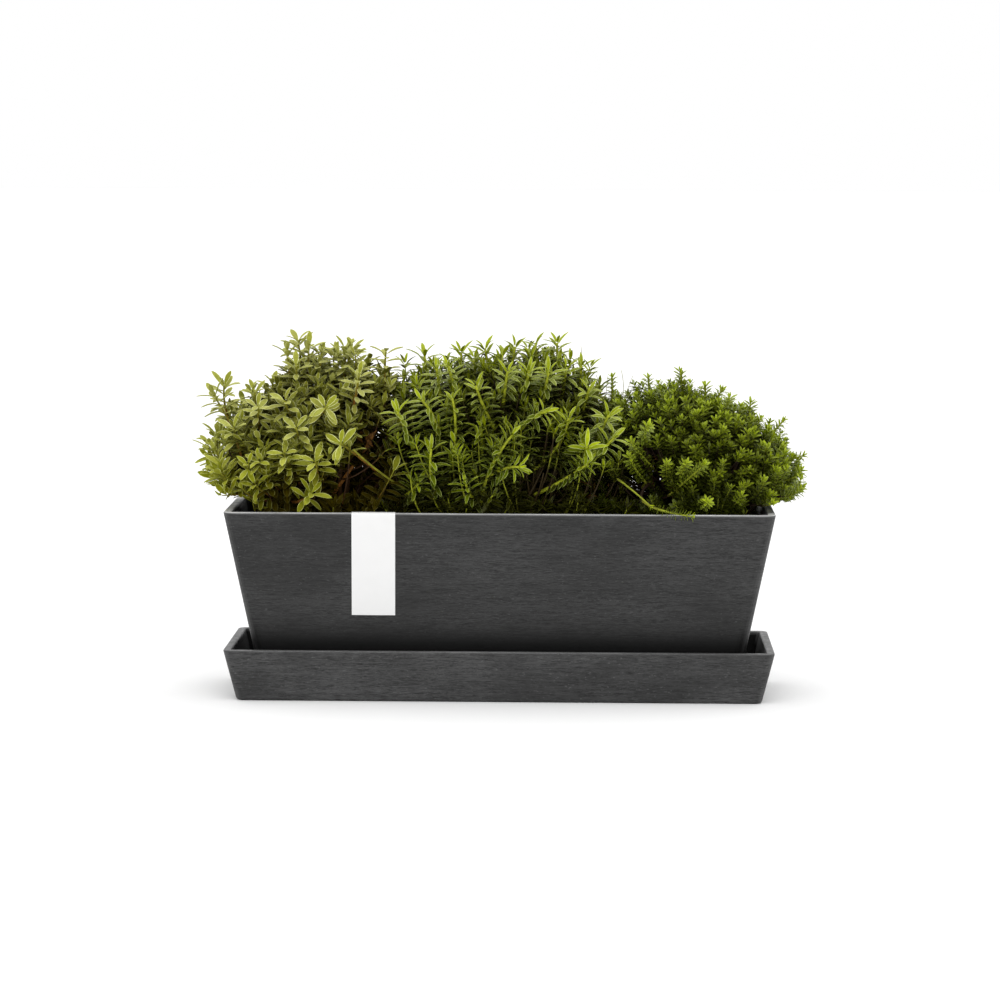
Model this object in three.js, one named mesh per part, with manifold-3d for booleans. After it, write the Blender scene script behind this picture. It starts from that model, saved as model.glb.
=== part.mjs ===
// A planted trough: a tapered rectangular planter standing in a matching saucer, with a
// folded card label over its rim, potting soil over a drainage layer, and three evergreen
// shrubs grown from nursery root balls.
// Millimetres, +Z up, X along the trough, front wall at -Y. The origin is the middle of
// the saucer's underside.

import * as THREE from 'three';
import { mergeVertices } from 'three/addons/utils/BufferGeometryUtils.js';
import loadManifold from 'manifold-3d';

// Planter, measured outside
const planterLength = 550;
const planterDepth = 175;
const planterHeight = 182;
const planterSlope = 11;
const planterWall = 8;
const planterFloor = 8;
const planterCorner = 12;
const planterCove = 7;
const footHeight = 4;
const footRadius = 13;
const footInset = 24;
const footColumns = 3;
const drainRadius = 6;
const drainEndRoom = 64;
const drainCount = 5;

// Saucer: its floor leaves room all round the planter's base
const saucerHeight = 52;
const saucerSlope = 13.3;
const saucerWall = 8;
const saucerFloor = 8;
const saucerCorner = 9;
const saucerRoom = 16.4;
const saucerCove = 5;

// Edge rounding and the gap that seated pieces keep
const rimRounding = 1.5;
const baseRounding = 2.5;
const seatGap = 0.3;

// Folded card label, hooked over the front wall
const labelWidth = 43.4;
const labelDrop = 107;
const labelFlap = 42;
const labelThickness = 0.6;
const labelFromEnd = 128.7;
const labelTravel = 110;
const labelSlotRoom = 0.6;

// Filling and root balls
const drainageDepth = 18;
const soilDrop = 20;
const soilBed = 39;
const ballSideRoom = 18;
const ballEndRoom = 36;
const ballRounding = 5;

// Shrubs, with the gap that neighbours keep and the one that canopies keep over the rim
const plantGap = 1.2;
const canopyGap = 3;
const canopyHeight = 178;
const canopyHalfDepth = 84;
const canopyRoundness = 2.6;
const canopyUnderRise = 16;
const coreShare = 0.86;
const lumpDepth = 0.08;
const trunkRadius = 8;
const branchRadius = 3;
const branchCount = 5;
const shootRadius = 1.4;
const fineShootRadius = 2.4;
const broadLeaf = 23;
const lanceLeaf = 29;
const fineLeaf = 12;

const cornerSteps = 6;
const edgeSteps = 3;
const ballSides = 24;

const radians = THREE.MathUtils.degToRad;
const lean = Math.tan(radians(planterSlope));
const saucerLean = Math.tan(radians(saucerSlope));
const wallAcross = planterWall / Math.cos(radians(planterSlope));
const saucerWallAcross = saucerWall / Math.cos(radians(saucerSlope));

const manifold = await loadManifold();
manifold.setup();

// A closed three.js geometry as a manifold solid, and back again.
function toSolid(geometry) {
  const bare = geometry.clone();
  bare.deleteAttribute('normal');
  bare.deleteAttribute('uv');
  const merged = mergeVertices(bare, 1e-4);
  return new manifold.Manifold(new manifold.Mesh({
    numProp: 3,
    vertProperties: new Float32Array(merged.attributes.position.array),
    triVerts: new Uint32Array(merged.index.array),
  }));
}

function toGeometry(solid) {
  const mesh = solid.getMesh();
  const geometry = new THREE.BufferGeometry();
  geometry.setAttribute('position', new THREE.BufferAttribute(mesh.vertProperties, 3));
  geometry.setIndex(new THREE.BufferAttribute(mesh.triVerts, 1));
  geometry.computeVertexNormals();
  return geometry;
}

// Skins a stack of rings that all have the same number of points. Each end is closed by a
// fan about its ring's middle, or about the point given for it.
function loft(rings, firstPoint, lastPoint) {
  const count = rings[0].length;
  const middle = (ring) => ring
    .reduce((sum, point) => sum.add(point), new THREE.Vector3())
    .divideScalar(count);
  const points = [...rings.flat(), firstPoint ?? middle(rings[0]), lastPoint ?? middle(rings.at(-1))];
  const first = points.length - 2;
  const last = points.length - 1;
  const faces = [];
  for (let row = 0; row < rings.length - 1; row += 1) {
    for (let i = 0; i < count; i += 1) {
      const next = (i + 1) % count;
      const [a, b] = [row * count + i, row * count + next];
      const [c, d] = [a + count, b + count];
      faces.push(a, b, d, a, d, c);
    }
  }
  const top = (rings.length - 1) * count;
  for (let i = 0; i < count; i += 1) {
    const next = (i + 1) % count;
    faces.push(first, next, i, last, top + i, top + next);
  }
  const geometry = new THREE.BufferGeometry();
  geometry.setAttribute('position', new THREE.Float32BufferAttribute(
    points.flatMap((point) => [point.x, point.y, point.z]), 3));
  geometry.setIndex(faces);
  geometry.computeVertexNormals();
  return geometry;
}

// One level of a trough: a rectangle with round corners at height z, anticlockwise.
function roundedRing(halfLength, halfDepth, corner, z) {
  const ring = [];
  const centres = [[1, 1], [-1, 1], [-1, -1], [1, -1]];
  centres.forEach(([sx, sy], quarter) => {
    for (let step = 0; step <= cornerSteps; step += 1) {
      const turn = (quarter + step / cornerSteps) * Math.PI / 2;
      ring.push(new THREE.Vector3(
        sx * (halfLength - corner) + corner * Math.cos(turn),
        sy * (halfDepth - corner) + corner * Math.sin(turn),
        z,
      ));
    }
  });
  return ring;
}

// An open trough with sloping walls, skinned from its underside, up the outside, over the
// rim and down the inside to its floor. Heights start at its own underside.
function trough(shape) {
  const { halfLength, halfDepth, height, slope, across, floor, corner, cove } = shape;
  const ring = (inset, z) => roundedRing(
    halfLength - (height - z) * slope - inset,
    halfDepth - (height - z) * slope - inset,
    Math.max(corner - inset, 2),
    z,
  );
  const rings = [];
  const quarter = (steps, place) => {
    for (let step = 0; step <= steps; step += 1) place(step / steps * Math.PI / 2);
  };
  quarter(edgeSteps, (turn) => rings.push(
    ring(baseRounding * (1 - Math.sin(turn)), baseRounding * (1 - Math.cos(turn)))));
  quarter(edgeSteps, (turn) => rings.push(
    ring(rimRounding * (1 - Math.cos(turn)), height - rimRounding * (1 - Math.sin(turn)))));
  quarter(edgeSteps, (turn) => rings.push(
    ring(across - rimRounding * (1 - Math.sin(turn)), height - rimRounding * (1 - Math.cos(turn)))));
  quarter(edgeSteps + 1, (turn) => rings.push(
    ring(across + cove * (1 - Math.cos(turn)), floor + cove * (1 - Math.sin(turn)))));
  return loft(rings);
}

// Half the planter's inside at a height above its underside, less a gap.
function insideHalf(half, z, gap) {
  return half - (planterHeight - z) * lean - wallAcross - gap;
}

function insideRing(z, inset) {
  return roundedRing(
    insideHalf(planterLength / 2, z, seatGap + inset),
    insideHalf(planterDepth / 2, z, seatGap + inset),
    Math.max(planterCorner - wallAcross, 2) + inset / 2,
    z,
  );
}

// A round boss or bore standing on z, wider or narrower at its top.
function post(radius, topRadius, height, x, y, z, sides = 20) {
  const geometry = new THREE.CylinderGeometry(topRadius, radius, height, sides);
  geometry.rotateX(Math.PI / 2);
  geometry.translate(x, y, z + height / 2);
  return toSolid(geometry);
}

// Places for a row of pieces, evenly spaced from -half to half.
function spread(half, count) {
  return Array.from({ length: count }, (_, i) => (count > 1 ? (2 * i / (count - 1) - 1) * half : 0));
}

// The planter: a trough on low round feet, with a row of drainage holes in its floor.
function planterSolid() {
  const shellHeight = planterHeight - footHeight;
  const shell = trough({
    halfLength: planterLength / 2,
    halfDepth: planterDepth / 2,
    height: shellHeight,
    slope: lean,
    across: wallAcross,
    floor: planterFloor,
    corner: planterCorner,
    cove: planterCove,
  });
  shell.translate(0, 0, footHeight);
  let solid = toSolid(shell);
  const baseHalf = (half) => half - shellHeight * lean;
  const sink = planterFloor / 2;
  for (const x of spread(baseHalf(planterLength / 2) - footInset, footColumns)) {
    for (const y of spread(baseHalf(planterDepth / 2) - footInset, 2)) {
      solid = solid.add(post(footRadius - 1, footRadius, footHeight + sink, x, y, 0));
    }
  }
  for (const x of spread(baseHalf(planterLength / 2) - drainEndRoom, drainCount)) {
    solid = solid.subtract(post(drainRadius, drainRadius, planterFloor + 2 * footHeight,
      x, 0, footHeight / 2, 16));
  }
  return solid;
}

function saucerGeometry() {
  const base = (half) => half - (planterHeight - footHeight) * lean + saucerRoom
    + saucerWallAcross + (saucerHeight - saucerFloor) * saucerLean;
  return trough({
    halfLength: base(planterLength / 2),
    halfDepth: base(planterDepth / 2),
    height: saucerHeight,
    slope: saucerLean,
    across: saucerWallAcross,
    floor: saucerFloor,
    corner: saucerCorner,
    cove: saucerCove,
  });
}

// The label's section across the wall: a strip bent over the rim, one leg on each face.
// grow widens the strip on every side, which gives the slot that the flap needs.
function labelSolid(width, grow, flapOnly) {
  const face = seatGap / Math.cos(radians(planterSlope));
  const card = labelThickness / Math.cos(radians(planterSlope));
  const front = (z, out) => -(planterDepth / 2 - (planterHeight - z) * lean) - out;
  const back = (z, out) => -insideHalf(planterDepth / 2, z, 0) + out;
  const foldBelow = planterHeight + seatGap;
  const foldAbove = foldBelow + labelThickness;
  const reach = (length) => foldAbove - length * Math.cos(radians(planterSlope));
  const toe = reach(labelDrop);
  const flapEnd = reach(labelFlap) - grow;
  const section = new THREE.Shape();
  if (flapOnly) {
    section.moveTo(back(flapEnd, -face), flapEnd);
    section.lineTo(back(flapEnd, face + card + grow), flapEnd);
    section.lineTo(back(foldAbove, face + card + grow), foldAbove);
    section.lineTo(back(foldAbove, -face), foldAbove);
  } else {
    section.moveTo(front(toe, face), toe);
    section.lineTo(front(foldBelow, face), foldBelow);
    section.lineTo(back(foldBelow, face), foldBelow);
    section.lineTo(back(flapEnd, face), flapEnd);
    section.lineTo(back(flapEnd, face + card), flapEnd);
    section.lineTo(back(foldAbove, face + card), foldAbove);
    section.lineTo(front(foldAbove, face + card), foldAbove);
    section.lineTo(front(toe, face + card), toe);
  }
  section.closePath();
  const geometry = new THREE.ExtrudeGeometry(section, { depth: width, bevelEnabled: false });
  geometry.applyMatrix4(new THREE.Matrix4().makeBasis(
    new THREE.Vector3(0, 1, 0), new THREE.Vector3(0, 0, 1), new THREE.Vector3(1, 0, 0)));
  geometry.translate(labelFromEnd + (labelWidth - width - planterLength) / 2, 0, 0);
  return toSolid(geometry);
}

// Heights inside the planter, from its feet up
const floorTop = footHeight + planterFloor;
const drainageBottom = floorTop + seatGap;
const drainageTop = drainageBottom + drainageDepth;
const soilBottom = drainageTop + seatGap;
const soilTop = planterHeight - soilDrop;
const ballHeight = soilTop - soilBottom - soilBed;
const ballTopRadius = insideHalf(planterDepth / 2, soilTop, ballSideRoom);
const ballBottomRadius = insideHalf(planterDepth / 2, soilTop - ballHeight, ballSideRoom);
const plantPitch = insideHalf(planterLength / 2, soilTop, ballEndRoom) - ballTopRadius;

function drainageGeometry() {
  return loft([
    insideRing(drainageBottom, planterCove),
    insideRing(drainageBottom + planterCove, 0),
    insideRing(drainageTop, 0),
  ]);
}

// A root ball's radius at a height above its underside.
function ballRadius(z) {
  return ballBottomRadius + (ballTopRadius - ballBottomRadius) * z / ballHeight;
}

// Soil with a pocket for each root ball and a slot for the label's flap.
function soilSolid(plants) {
  let solid = toSolid(loft([insideRing(soilBottom, 0), insideRing(soilTop, 0)]));
  const above = ballHeight / 8;
  for (const plant of plants) {
    solid = solid.subtract(post(ballRadius(-seatGap) + seatGap, ballRadius(ballHeight + above) + seatGap,
      seatGap + ballHeight + above, plant.at * plantPitch, 0, soilTop - ballHeight - seatGap, ballSides));
  }
  return solid.subtract(labelSolid(labelWidth + 2 * labelSlotRoom, labelSlotRoom, true));
}

// A root ball keeps the tapered shape of its nursery pot, with a low crown on top.
function rootBallGeometry() {
  const profile = [
    new THREE.Vector2(0, 0),
    new THREE.Vector2(ballBottomRadius - ballRounding, 0),
    new THREE.Vector2(ballRadius(ballRounding), ballRounding),
    new THREE.Vector2(ballRadius(ballHeight - ballRounding), ballHeight - ballRounding),
    new THREE.Vector2(ballTopRadius - ballRounding, ballHeight),
    new THREE.Vector2(0, ballHeight + ballRounding / 2),
  ];
  const geometry = new THREE.LatheGeometry(profile, ballSides);
  geometry.rotateX(Math.PI / 2);
  return geometry;
}

// The shrubs. Places along the trough are shares of half its length, heights are shares of
// canopyHeight above the rim, and places across the trough are shares of canopyHalfDepth. An
// outline is the canopy's top edge in the plane of the trough's middle, from its left end to
// its right end. Leads are the longest shoots' tips: along, across and up. A broad leaf has
// edges, a narrow one none.
const shrubs = [
  {
    name: 'left',
    at: -1,
    middle: -0.73,
    outline: [
      [-1.142, 0.032], [-1.131, 0.594], [-1.04, 0.684], [-0.909, 0.695], [-0.844, 0.785],
      [-0.749, 0.965], [-0.658, 0.92], [-0.527, 0.925], [-0.425, 0.886], [-0.371, 0.757],
      [-0.349, 0.01],
    ],
    leads: [
      [-1.124, -0.1, 0.611], [-1.04, 0.3, 0.689], [-0.938, -0.2, 0.695], [-0.749, 0.1, 0.976],
      [-0.596, -0.25, 0.914], [-0.436, 0.2, 0.886], [-1.12, 0.1, 0.319], [-1.12, -0.3, 0.167],
      [-1.036, -0.35, 0.066],
    ],
    shoots: 20,
    leaf: { length: broadLeaf, width: 0.55, lift: 34, spacing: 0.65, pairs: 3, blades: 2, broad: true },
    stem: shootRadius,
    colour: 0x8b9a5b,
  },
  {
    name: 'middle',
    at: 0,
    middle: 0.02,
    outline: [
      [-0.407, 0.01], [-0.393, 0.74], [-0.335, 0.886], [-0.142, 0.925], [0.033, 0.959],
      [0.207, 0.987], [0.258, 0.886], [0.324, 0.841], [0.371, 0.717], [0.429, 0.532],
      [0.451, 0.335], [0.455, 0.01],
    ],
    leads: [
      [-0.291, -0.2, 0.937], [-0.142, 0.25, 0.942], [0.033, -0.2, 0.976], [0.207, 0.1, 1.004],
      [0.324, -0.25, 0.852], [0.364, 0.3, 0.74],
    ],
    shoots: 22,
    leaf: { length: lanceLeaf, width: 0.3, lift: 42, spacing: 0.52, pairs: 3, blades: 2, broad: true },
    stem: shootRadius,
    colour: 0x4d7a1e,
  },
  {
    name: 'right',
    at: 1,
    middle: 0.75,
    outline: [
      [0.385, 0.01], [0.393, 0.684], [0.542, 0.717], [0.658, 0.768], [0.749, 0.684],
      [0.815, 0.661], [0.931, 0.588], [0.975, 0.498], [1.044, 0.481], [1.062, 0.375],
      [1.113, 0.29], [1.127, 0.032],
    ],
    leads: [
      [0.476, 0.1, 0.74], [0.658, -0.1, 0.796], [0.815, 0.15, 0.684], [0.931, -0.2, 0.605],
      [1.04, 0.1, 0.51], [1.116, 0, 0.296], [1.116, -0.25, 0.122],
    ],
    shoots: 30,
    leaf: { length: fineLeaf, width: 0, lift: 40, spacing: 1, pairs: 4, blades: 3, broad: false },
    stem: fineShootRadius,
    colour: 0x3c6614,
  },
];

// The canopy's height over the rim where the trough's middle plane meets an outline.
function outlineHeight(plant, along) {
  const { outline } = plant;
  const next = outline.findIndex(([place]) => place > along);
  if (next < 1) return 0;
  const [[from, low], [to, high]] = [outline[next - 1], outline[next]];
  return low + (high - low) * (along - from) / (to - from);
}

// Whether a point lies in a canopy. Its roof falls from its outline towards the front and
// the back as a superellipse, and its underside lies just above the rim and rises in the
// same way towards the front, the back and both ends.
function inCanopy(plant, point) {
  const along = 2 * point.x / planterLength;
  const [start, end] = [plant.outline[0][0], plant.outline.at(-1)[0]];
  const away = Math.abs(2 * along - start - end) / (end - start);
  const across = Math.abs(point.y) / canopyHalfDepth;
  const fall = (...shares) => Math.max(
    1 - shares.reduce((sum, share) => sum + share ** canopyRoundness, 0), 0) ** (1 / canopyRoundness);
  const roof = outlineHeight(plant, along) * canopyHeight * fall(across);
  const underside = canopyGap + canopyUnderRise * (1 - fall(across, away));
  const over = point.z - planterHeight;
  return over < roof && over > underside;
}

function canopyMiddle(plant) {
  return new THREE.Vector3(plant.middle * planterLength / 2, 0, planterHeight + canopyHeight * 0.4);
}

// How far a canopy reaches from its middle along a direction, found by halving.
function canopyReach(plant, along) {
  const middle = canopyMiddle(plant);
  let inside = 0;
  let outside = planterLength / 2;
  for (let halving = 0; halving < 14; halving += 1) {
    const trial = (inside + outside) / 2;
    if (inCanopy(plant, along.clone().multiplyScalar(trial).add(middle))) inside = trial;
    else outside = trial;
  }
  return inside;
}

// A unit vector by its turn round +Z and its height.
function bearing(turn, height) {
  const flat = Math.sqrt(1 - height * height);
  return new THREE.Vector3(flat * Math.cos(turn), flat * Math.sin(turn), height);
}

// The leafy mass inside the shoots: the canopy drawn in, with lumps between its hollows, and
// drawn in less towards its underside.
function canopyCore(plant) {
  const around = 28;
  const rows = 10;
  const middle = canopyMiddle(plant);
  const place = (turn, height) => {
    const lump = lumpDepth * Math.sin(5 * turn + 4 * height) * Math.cos(6 * height - 3 * turn);
    const low = (1 - coreShare) * Math.max(-height, 0);
    const along = bearing(turn, height);
    return along.multiplyScalar(canopyReach(plant, along) * (coreShare + lump * (1 - low) + low))
      .add(middle);
  };
  const rings = Array.from({ length: rows }, (_, row) => {
    const height = Math.sin(((row + 0.8) / (rows + 0.6) - 0.5) * Math.PI);
    return Array.from({ length: around }, (_unused, i) => place(i / around * 2 * Math.PI, height));
  });
  return loft(rings, place(0, -1), place(0, 1));
}

// Two unit vectors square to a path's direction.
function squareTo(along) {
  const side = new THREE.Vector3(0, 0, 1).cross(along);
  if (side.lengthSq() < 1e-3) side.set(1, 0, 0);
  side.normalize();
  return [side, along.clone().cross(side).normalize()];
}

// A tapered round branch along a curve.
function branchGeometry(path, radius, endRadius) {
  const steps = 4;
  const sides = 6;
  const rings = Array.from({ length: steps + 1 }, (_, step) => {
    const t = step / steps;
    const [across, up] = squareTo(path.getTangent(t));
    const size = radius + (endRadius - radius) * t;
    return Array.from({ length: sides }, (_unused, i) => {
      const turn = i / sides * 2 * Math.PI;
      return path.getPoint(t)
        .addScaledVector(across, size * Math.cos(turn))
        .addScaledVector(up, size * Math.sin(turn));
    });
  });
  return loft(rings);
}

// A leafy shoot: a stem whose rings are drawn out into whorls of blades, each whorl turned
// half a blade from the last. Going round a whorl, points lie on a blade's tip, its edge,
// the stem between blades, and the next blade's edge.
function shootGeometry(path, plant) {
  const { leaf, stem } = plant;
  const length = path.getLength();
  const spacing = leaf.spacing * leaf.length;
  const marks = leaf.broad
    ? [{ out: 1, side: 0 }, { out: 0.5, side: 1 }, { out: 0, side: 0 }, { out: 0.5, side: -1 }]
    : [{ out: 1, side: 0 }, { out: 0, side: 0 }];
  const count = leaf.blades * marks.length;
  const lift = radians(leaf.lift);
  const rings = [];
  const ring = (distance, size, turned) => {
    const t = THREE.MathUtils.clamp(distance / length, 0, 1);
    const along = path.getTangentAt(t);
    const [across, up] = squareTo(along);
    const toward = (turn) => across.clone().multiplyScalar(Math.cos(turn))
      .addScaledVector(up, Math.sin(turn));
    rings.push(Array.from({ length: count }, (_, i) => {
      const mark = size ? marks[(i + turned) % marks.length] : { out: 0, side: 0 };
      const turn = (i - mark.side) * 2 * Math.PI / count;
      const out = leaf.length * mark.out * size;
      return path.getPointAt(t)
        .addScaledVector(toward(turn), stem + out * Math.cos(lift))
        .addScaledVector(toward(turn + Math.PI / 2), mark.side * leaf.width * leaf.length * size / 2)
        .addScaledVector(along, out * Math.sin(lift) + (size ? stem : 0));
    }));
  };
  ring(0, 0, 0);
  for (let whorl = 0; whorl < leaf.pairs; whorl += 1) {
    const distance = length - (leaf.pairs - whorl - 0.4) * spacing;
    const turned = whorl % 2 * marks.length / 2;
    ring(distance, 0, 0);
    ring(distance, 1 - 0.12 * whorl, turned);
    if (leaf.broad) ring(distance + 2.5 * stem, 0, 0);
  }
  return loft(rings, undefined, path.getPoint(1).addScaledVector(path.getTangent(1), spacing / 2));
}

// Shoots start inside the core, nearer the crown than their tips, and rise to their tips.
// After the leads, the rest are spread over the canopy by the golden angle.
function shootPaths(plant) {
  const golden = Math.PI * (3 - Math.sqrt(5));
  const middle = canopyMiddle(plant);
  const tips = plant.leads.map(([along, across, up]) => new THREE.Vector3(
    along * planterLength / 2, across * canopyHalfDepth, planterHeight + up * canopyHeight).sub(middle));
  for (let i = 0; i < plant.shoots; i += 1) {
    const along = bearing(i * golden + 0.4, -0.35 + 1.25 * (i + 0.5) / plant.shoots);
    tips.push(along.multiplyScalar(canopyReach(plant, along)));
  }
  const bladeRoom = plant.leaf.length * Math.sin(radians(plant.leaf.lift));
  return tips.map((tip) => {
    const end = tip.clone().setLength(tip.length() - bladeRoom).add(middle);
    const from = tip.clone().setZ(tip.z * 0.4);
    const root = from.normalize().multiplyScalar(canopyReach(plant, from) * coreShare * 0.6).add(middle);
    const knee = root.clone().lerp(end, 0.6);
    knee.z -= 0.1 * root.distanceTo(end);
    return new THREE.QuadraticBezierCurve3(root, knee, end);
  });
}

// The space that the label sweeps when it is drawn up off the rim.
function labelSweep() {
  const card = labelSolid(labelWidth + 2 * labelSlotRoom, labelSlotRoom, false);
  const travel = radians(planterSlope);
  return manifold.Manifold.hull([
    card,
    card.translate([0, -labelTravel * Math.sin(travel), labelTravel * Math.cos(travel)]),
  ]);
}

// A shrub: trunk and branches from the root ball, the canopy's core and its shoots, kept
// to its own length of the trough, above the rim's level and out of the label's way.
function shrubSolid(plant, limits) {
  const ground = soilTop + ballRounding / 2 + seatGap;
  const middle = canopyMiddle(plant);
  const foot = plant.at * plantPitch;
  const crown = new THREE.Vector3(foot, 0, ground + trunkRadius);
  const floorLevel = planterHeight + canopyGap;
  const room = new THREE.BoxGeometry(limits.right - limits.left, 4 * planterDepth, 2 * planterHeight);
  room.translate((limits.right + limits.left) / 2, 0, floorLevel + planterHeight);
  const leafy = [toSolid(canopyCore(plant)), ...shootPaths(plant).map(
    (path) => toSolid(shootGeometry(path, plant)))];
  const pieces = [
    leafy.reduce((sum, piece) => sum.add(piece)).intersect(toSolid(room)),
    post(trunkRadius, trunkRadius * 0.6, trunkRadius * 1.6, foot, 0, ground, 10),
  ];
  for (let i = 0; i < branchCount; i += 1) {
    const along = bearing((i + 0.3) / branchCount * 2 * Math.PI, 0.2);
    const end = along.clone().multiplyScalar(canopyReach(plant, along) * coreShare * 0.6).add(middle);
    const knee = crown.clone().lerp(end, 0.35).setZ((crown.z + end.z) / 2);
    const path = new THREE.QuadraticBezierCurve3(crown, knee, end);
    pieces.push(toSolid(branchGeometry(path, branchRadius, branchRadius * 0.6)));
  }
  const whole = pieces.reduce((sum, piece) => sum.add(piece)).subtract(labelSweep());
  return whole.decompose().reduce((most, piece) => (piece.volume() > most.volume() ? piece : most));
}

// Neighbours meet halfway between the ends of their outlines, which overlap.
function shrubLimits(index) {
  const bound = (side) => {
    const here = shrubs[index];
    const next = shrubs[index + side];
    if (!next) return side * planterLength;
    const [mine, theirs] = side < 0
      ? [here.outline[0], next.outline.at(-1)]
      : [here.outline.at(-1), next.outline[0]];
    return (mine[0] + theirs[0]) / 4 * planterLength - side * plantGap / 2;
  };
  return { left: bound(-1), right: bound(1) };
}

function finish(colour, roughness) {
  return new THREE.MeshStandardMaterial({ color: colour, roughness, metalness: 0 });
}

const mouldedGrey = finish(0x3d3d3e, 0.8);
const planted = new THREE.Group();
planted.name = 'planted_trough';

function addPiece(group, name, geometry, material) {
  const mesh = new THREE.Mesh(geometry, material);
  mesh.name = name;
  group.add(mesh);
  return mesh;
}

addPiece(planted, 'saucer', saucerGeometry(), mouldedGrey);

const lifted = new THREE.Group();
lifted.position.z = saucerFloor + seatGap;
planted.add(lifted);
addPiece(lifted, 'planter', toGeometry(planterSolid()), mouldedGrey);
addPiece(lifted, 'label_card', toGeometry(labelSolid(labelWidth, 0, false)), finish(0xf4f4f3, 0.7));
addPiece(lifted, 'drainage_layer', drainageGeometry(), finish(0x8a5a3c, 0.9));
addPiece(lifted, 'potting_soil', toGeometry(soilSolid(shrubs)), finish(0x2a1f16, 0.95));
shrubs.forEach((plant, index) => {
  const ball = addPiece(lifted, `root_ball_${plant.name}`, rootBallGeometry(), finish(0x3a2a1c, 0.95));
  ball.position.set(plant.at * plantPitch, 0, soilTop - ballHeight);
  const solid = shrubSolid(plant, shrubLimits(index));
  addPiece(lifted, `shrub_${plant.name}`, toGeometry(solid), finish(plant.colour, 0.6));
});

export default planted;
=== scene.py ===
import bpy
import numpy as np
from bpy.props import EnumProperty, FloatProperty, FloatVectorProperty, IntProperty, PointerProperty
from mathutils import Matrix, Vector


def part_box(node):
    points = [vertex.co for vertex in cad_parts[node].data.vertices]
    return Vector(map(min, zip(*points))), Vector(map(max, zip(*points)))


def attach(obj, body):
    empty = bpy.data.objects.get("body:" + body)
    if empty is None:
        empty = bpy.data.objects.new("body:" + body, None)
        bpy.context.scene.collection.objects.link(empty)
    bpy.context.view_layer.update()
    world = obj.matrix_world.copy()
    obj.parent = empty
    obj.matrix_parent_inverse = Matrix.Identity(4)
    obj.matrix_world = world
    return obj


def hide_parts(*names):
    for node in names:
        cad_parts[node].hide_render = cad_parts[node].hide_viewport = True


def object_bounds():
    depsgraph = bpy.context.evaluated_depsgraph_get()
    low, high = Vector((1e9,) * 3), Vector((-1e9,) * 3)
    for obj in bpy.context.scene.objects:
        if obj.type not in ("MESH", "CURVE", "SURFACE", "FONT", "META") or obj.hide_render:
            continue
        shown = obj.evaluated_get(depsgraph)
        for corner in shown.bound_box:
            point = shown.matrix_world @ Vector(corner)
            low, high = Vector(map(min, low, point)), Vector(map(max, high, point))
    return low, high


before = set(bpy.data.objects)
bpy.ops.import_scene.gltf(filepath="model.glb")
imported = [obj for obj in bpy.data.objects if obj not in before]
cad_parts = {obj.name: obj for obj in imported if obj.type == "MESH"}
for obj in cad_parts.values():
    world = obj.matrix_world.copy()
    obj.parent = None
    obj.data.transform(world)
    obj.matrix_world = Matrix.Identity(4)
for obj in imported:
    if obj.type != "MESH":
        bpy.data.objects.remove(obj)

bl_info = {
    "name": "Planted Trough",
    "version": (1, 0, 0),
    "blender": (4, 5, 0),
    "location": "View3D > Sidebar > Trough",
    "description": "Finishes a planter, its saucer and its label, and grows the shrubs in it",
    "category": "Object",
}

MM = 0.001
CAD_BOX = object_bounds()

# Sizes that come from the frame
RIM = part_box("planter")[1].z
SOIL_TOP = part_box("potting_soil")[1].z
HALF_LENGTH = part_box("planter")[1].x
HALF_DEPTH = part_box("planter")[1].y

# The walls' slopes in degrees, the planter's lean over its height, and its wall measured level
PLANTER_SLOPE = 11.0
SAUCER_SLOPE = 13.3
LEAN = np.tan(np.radians(PLANTER_SLOPE))
WALL_ACROSS = 8.15 * MM

# The height over which the painted shade at the planter's foot fades
FOOT_FADE = 42 * MM

# The photograph's camera, in the frame's metres and degrees
CAMERA_PLACE = (0.0865, -3.714, 0.571)
CAMERA_DOWN = 5.77
CAMERA_TURN = 1.35
CAMERA_ROLL = -0.22
LENS = 132.5

# How wide the soft lights are in the sky, in degrees
LIGHT_SPREAD = 75

QUARTER = np.pi / 2
GOLDEN_TURN = np.pi * (3 - np.sqrt(5))
SKY = np.array((0.0, 0.0, 1.0))
OBLIQUE = (0.31, 0.17, 0.93)
PIECE_TRIANGLES = 190000


# Meshes from arrays


def packed(numbers):
    return np.ascontiguousarray(numbers, dtype=np.float32).ravel()


def put_mesh(name, points, faces, material, smooth=True, values=None, sharp=None, atlas=None):
    """A piece from points (n, 3) and a list of face arrays. values has a number a point for each
    attribute, sharp marks points whose shared edges stay crisp, and atlas has their UV places."""
    mesh = bpy.data.meshes.new(name)
    corners = np.concatenate([part.ravel() for part in faces]).astype(np.int32)
    sizes = np.concatenate([np.full(len(part), part.shape[1]) for part in faces])
    mesh.vertices.add(len(points))
    mesh.vertices.foreach_set("co", packed(points))
    mesh.loops.add(len(corners))
    mesh.loops.foreach_set("vertex_index", corners)
    mesh.polygons.add(len(sizes))
    mesh.polygons.foreach_set("loop_start", (np.cumsum(sizes) - sizes).astype(np.int32))
    mesh.polygons.foreach_set("use_smooth", np.full(len(sizes), smooth))
    mesh.update(calc_edges=True)
    for key, numbers in (values or {}).items():
        mesh.attributes.new(key, "FLOAT", "POINT").data.foreach_set("value", packed(numbers))
    if sharp is not None:
        ends = np.empty(len(mesh.edges) * 2, dtype=np.int32)
        mesh.edges.foreach_get("vertices", ends)
        crisp = sharp[ends.reshape(-1, 2)].all(axis=1)
        mesh.attributes.new("sharp_edge", "BOOLEAN", "EDGE").data.foreach_set("value", crisp)
    if atlas is not None:
        mesh.uv_layers.new(name="OFBake").data.foreach_set("uv", packed(atlas[corners]))
    mesh.materials.append(material)
    piece = bpy.data.objects.new(name, mesh)
    bpy.context.scene.collection.objects.link(piece)
    return piece


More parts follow.
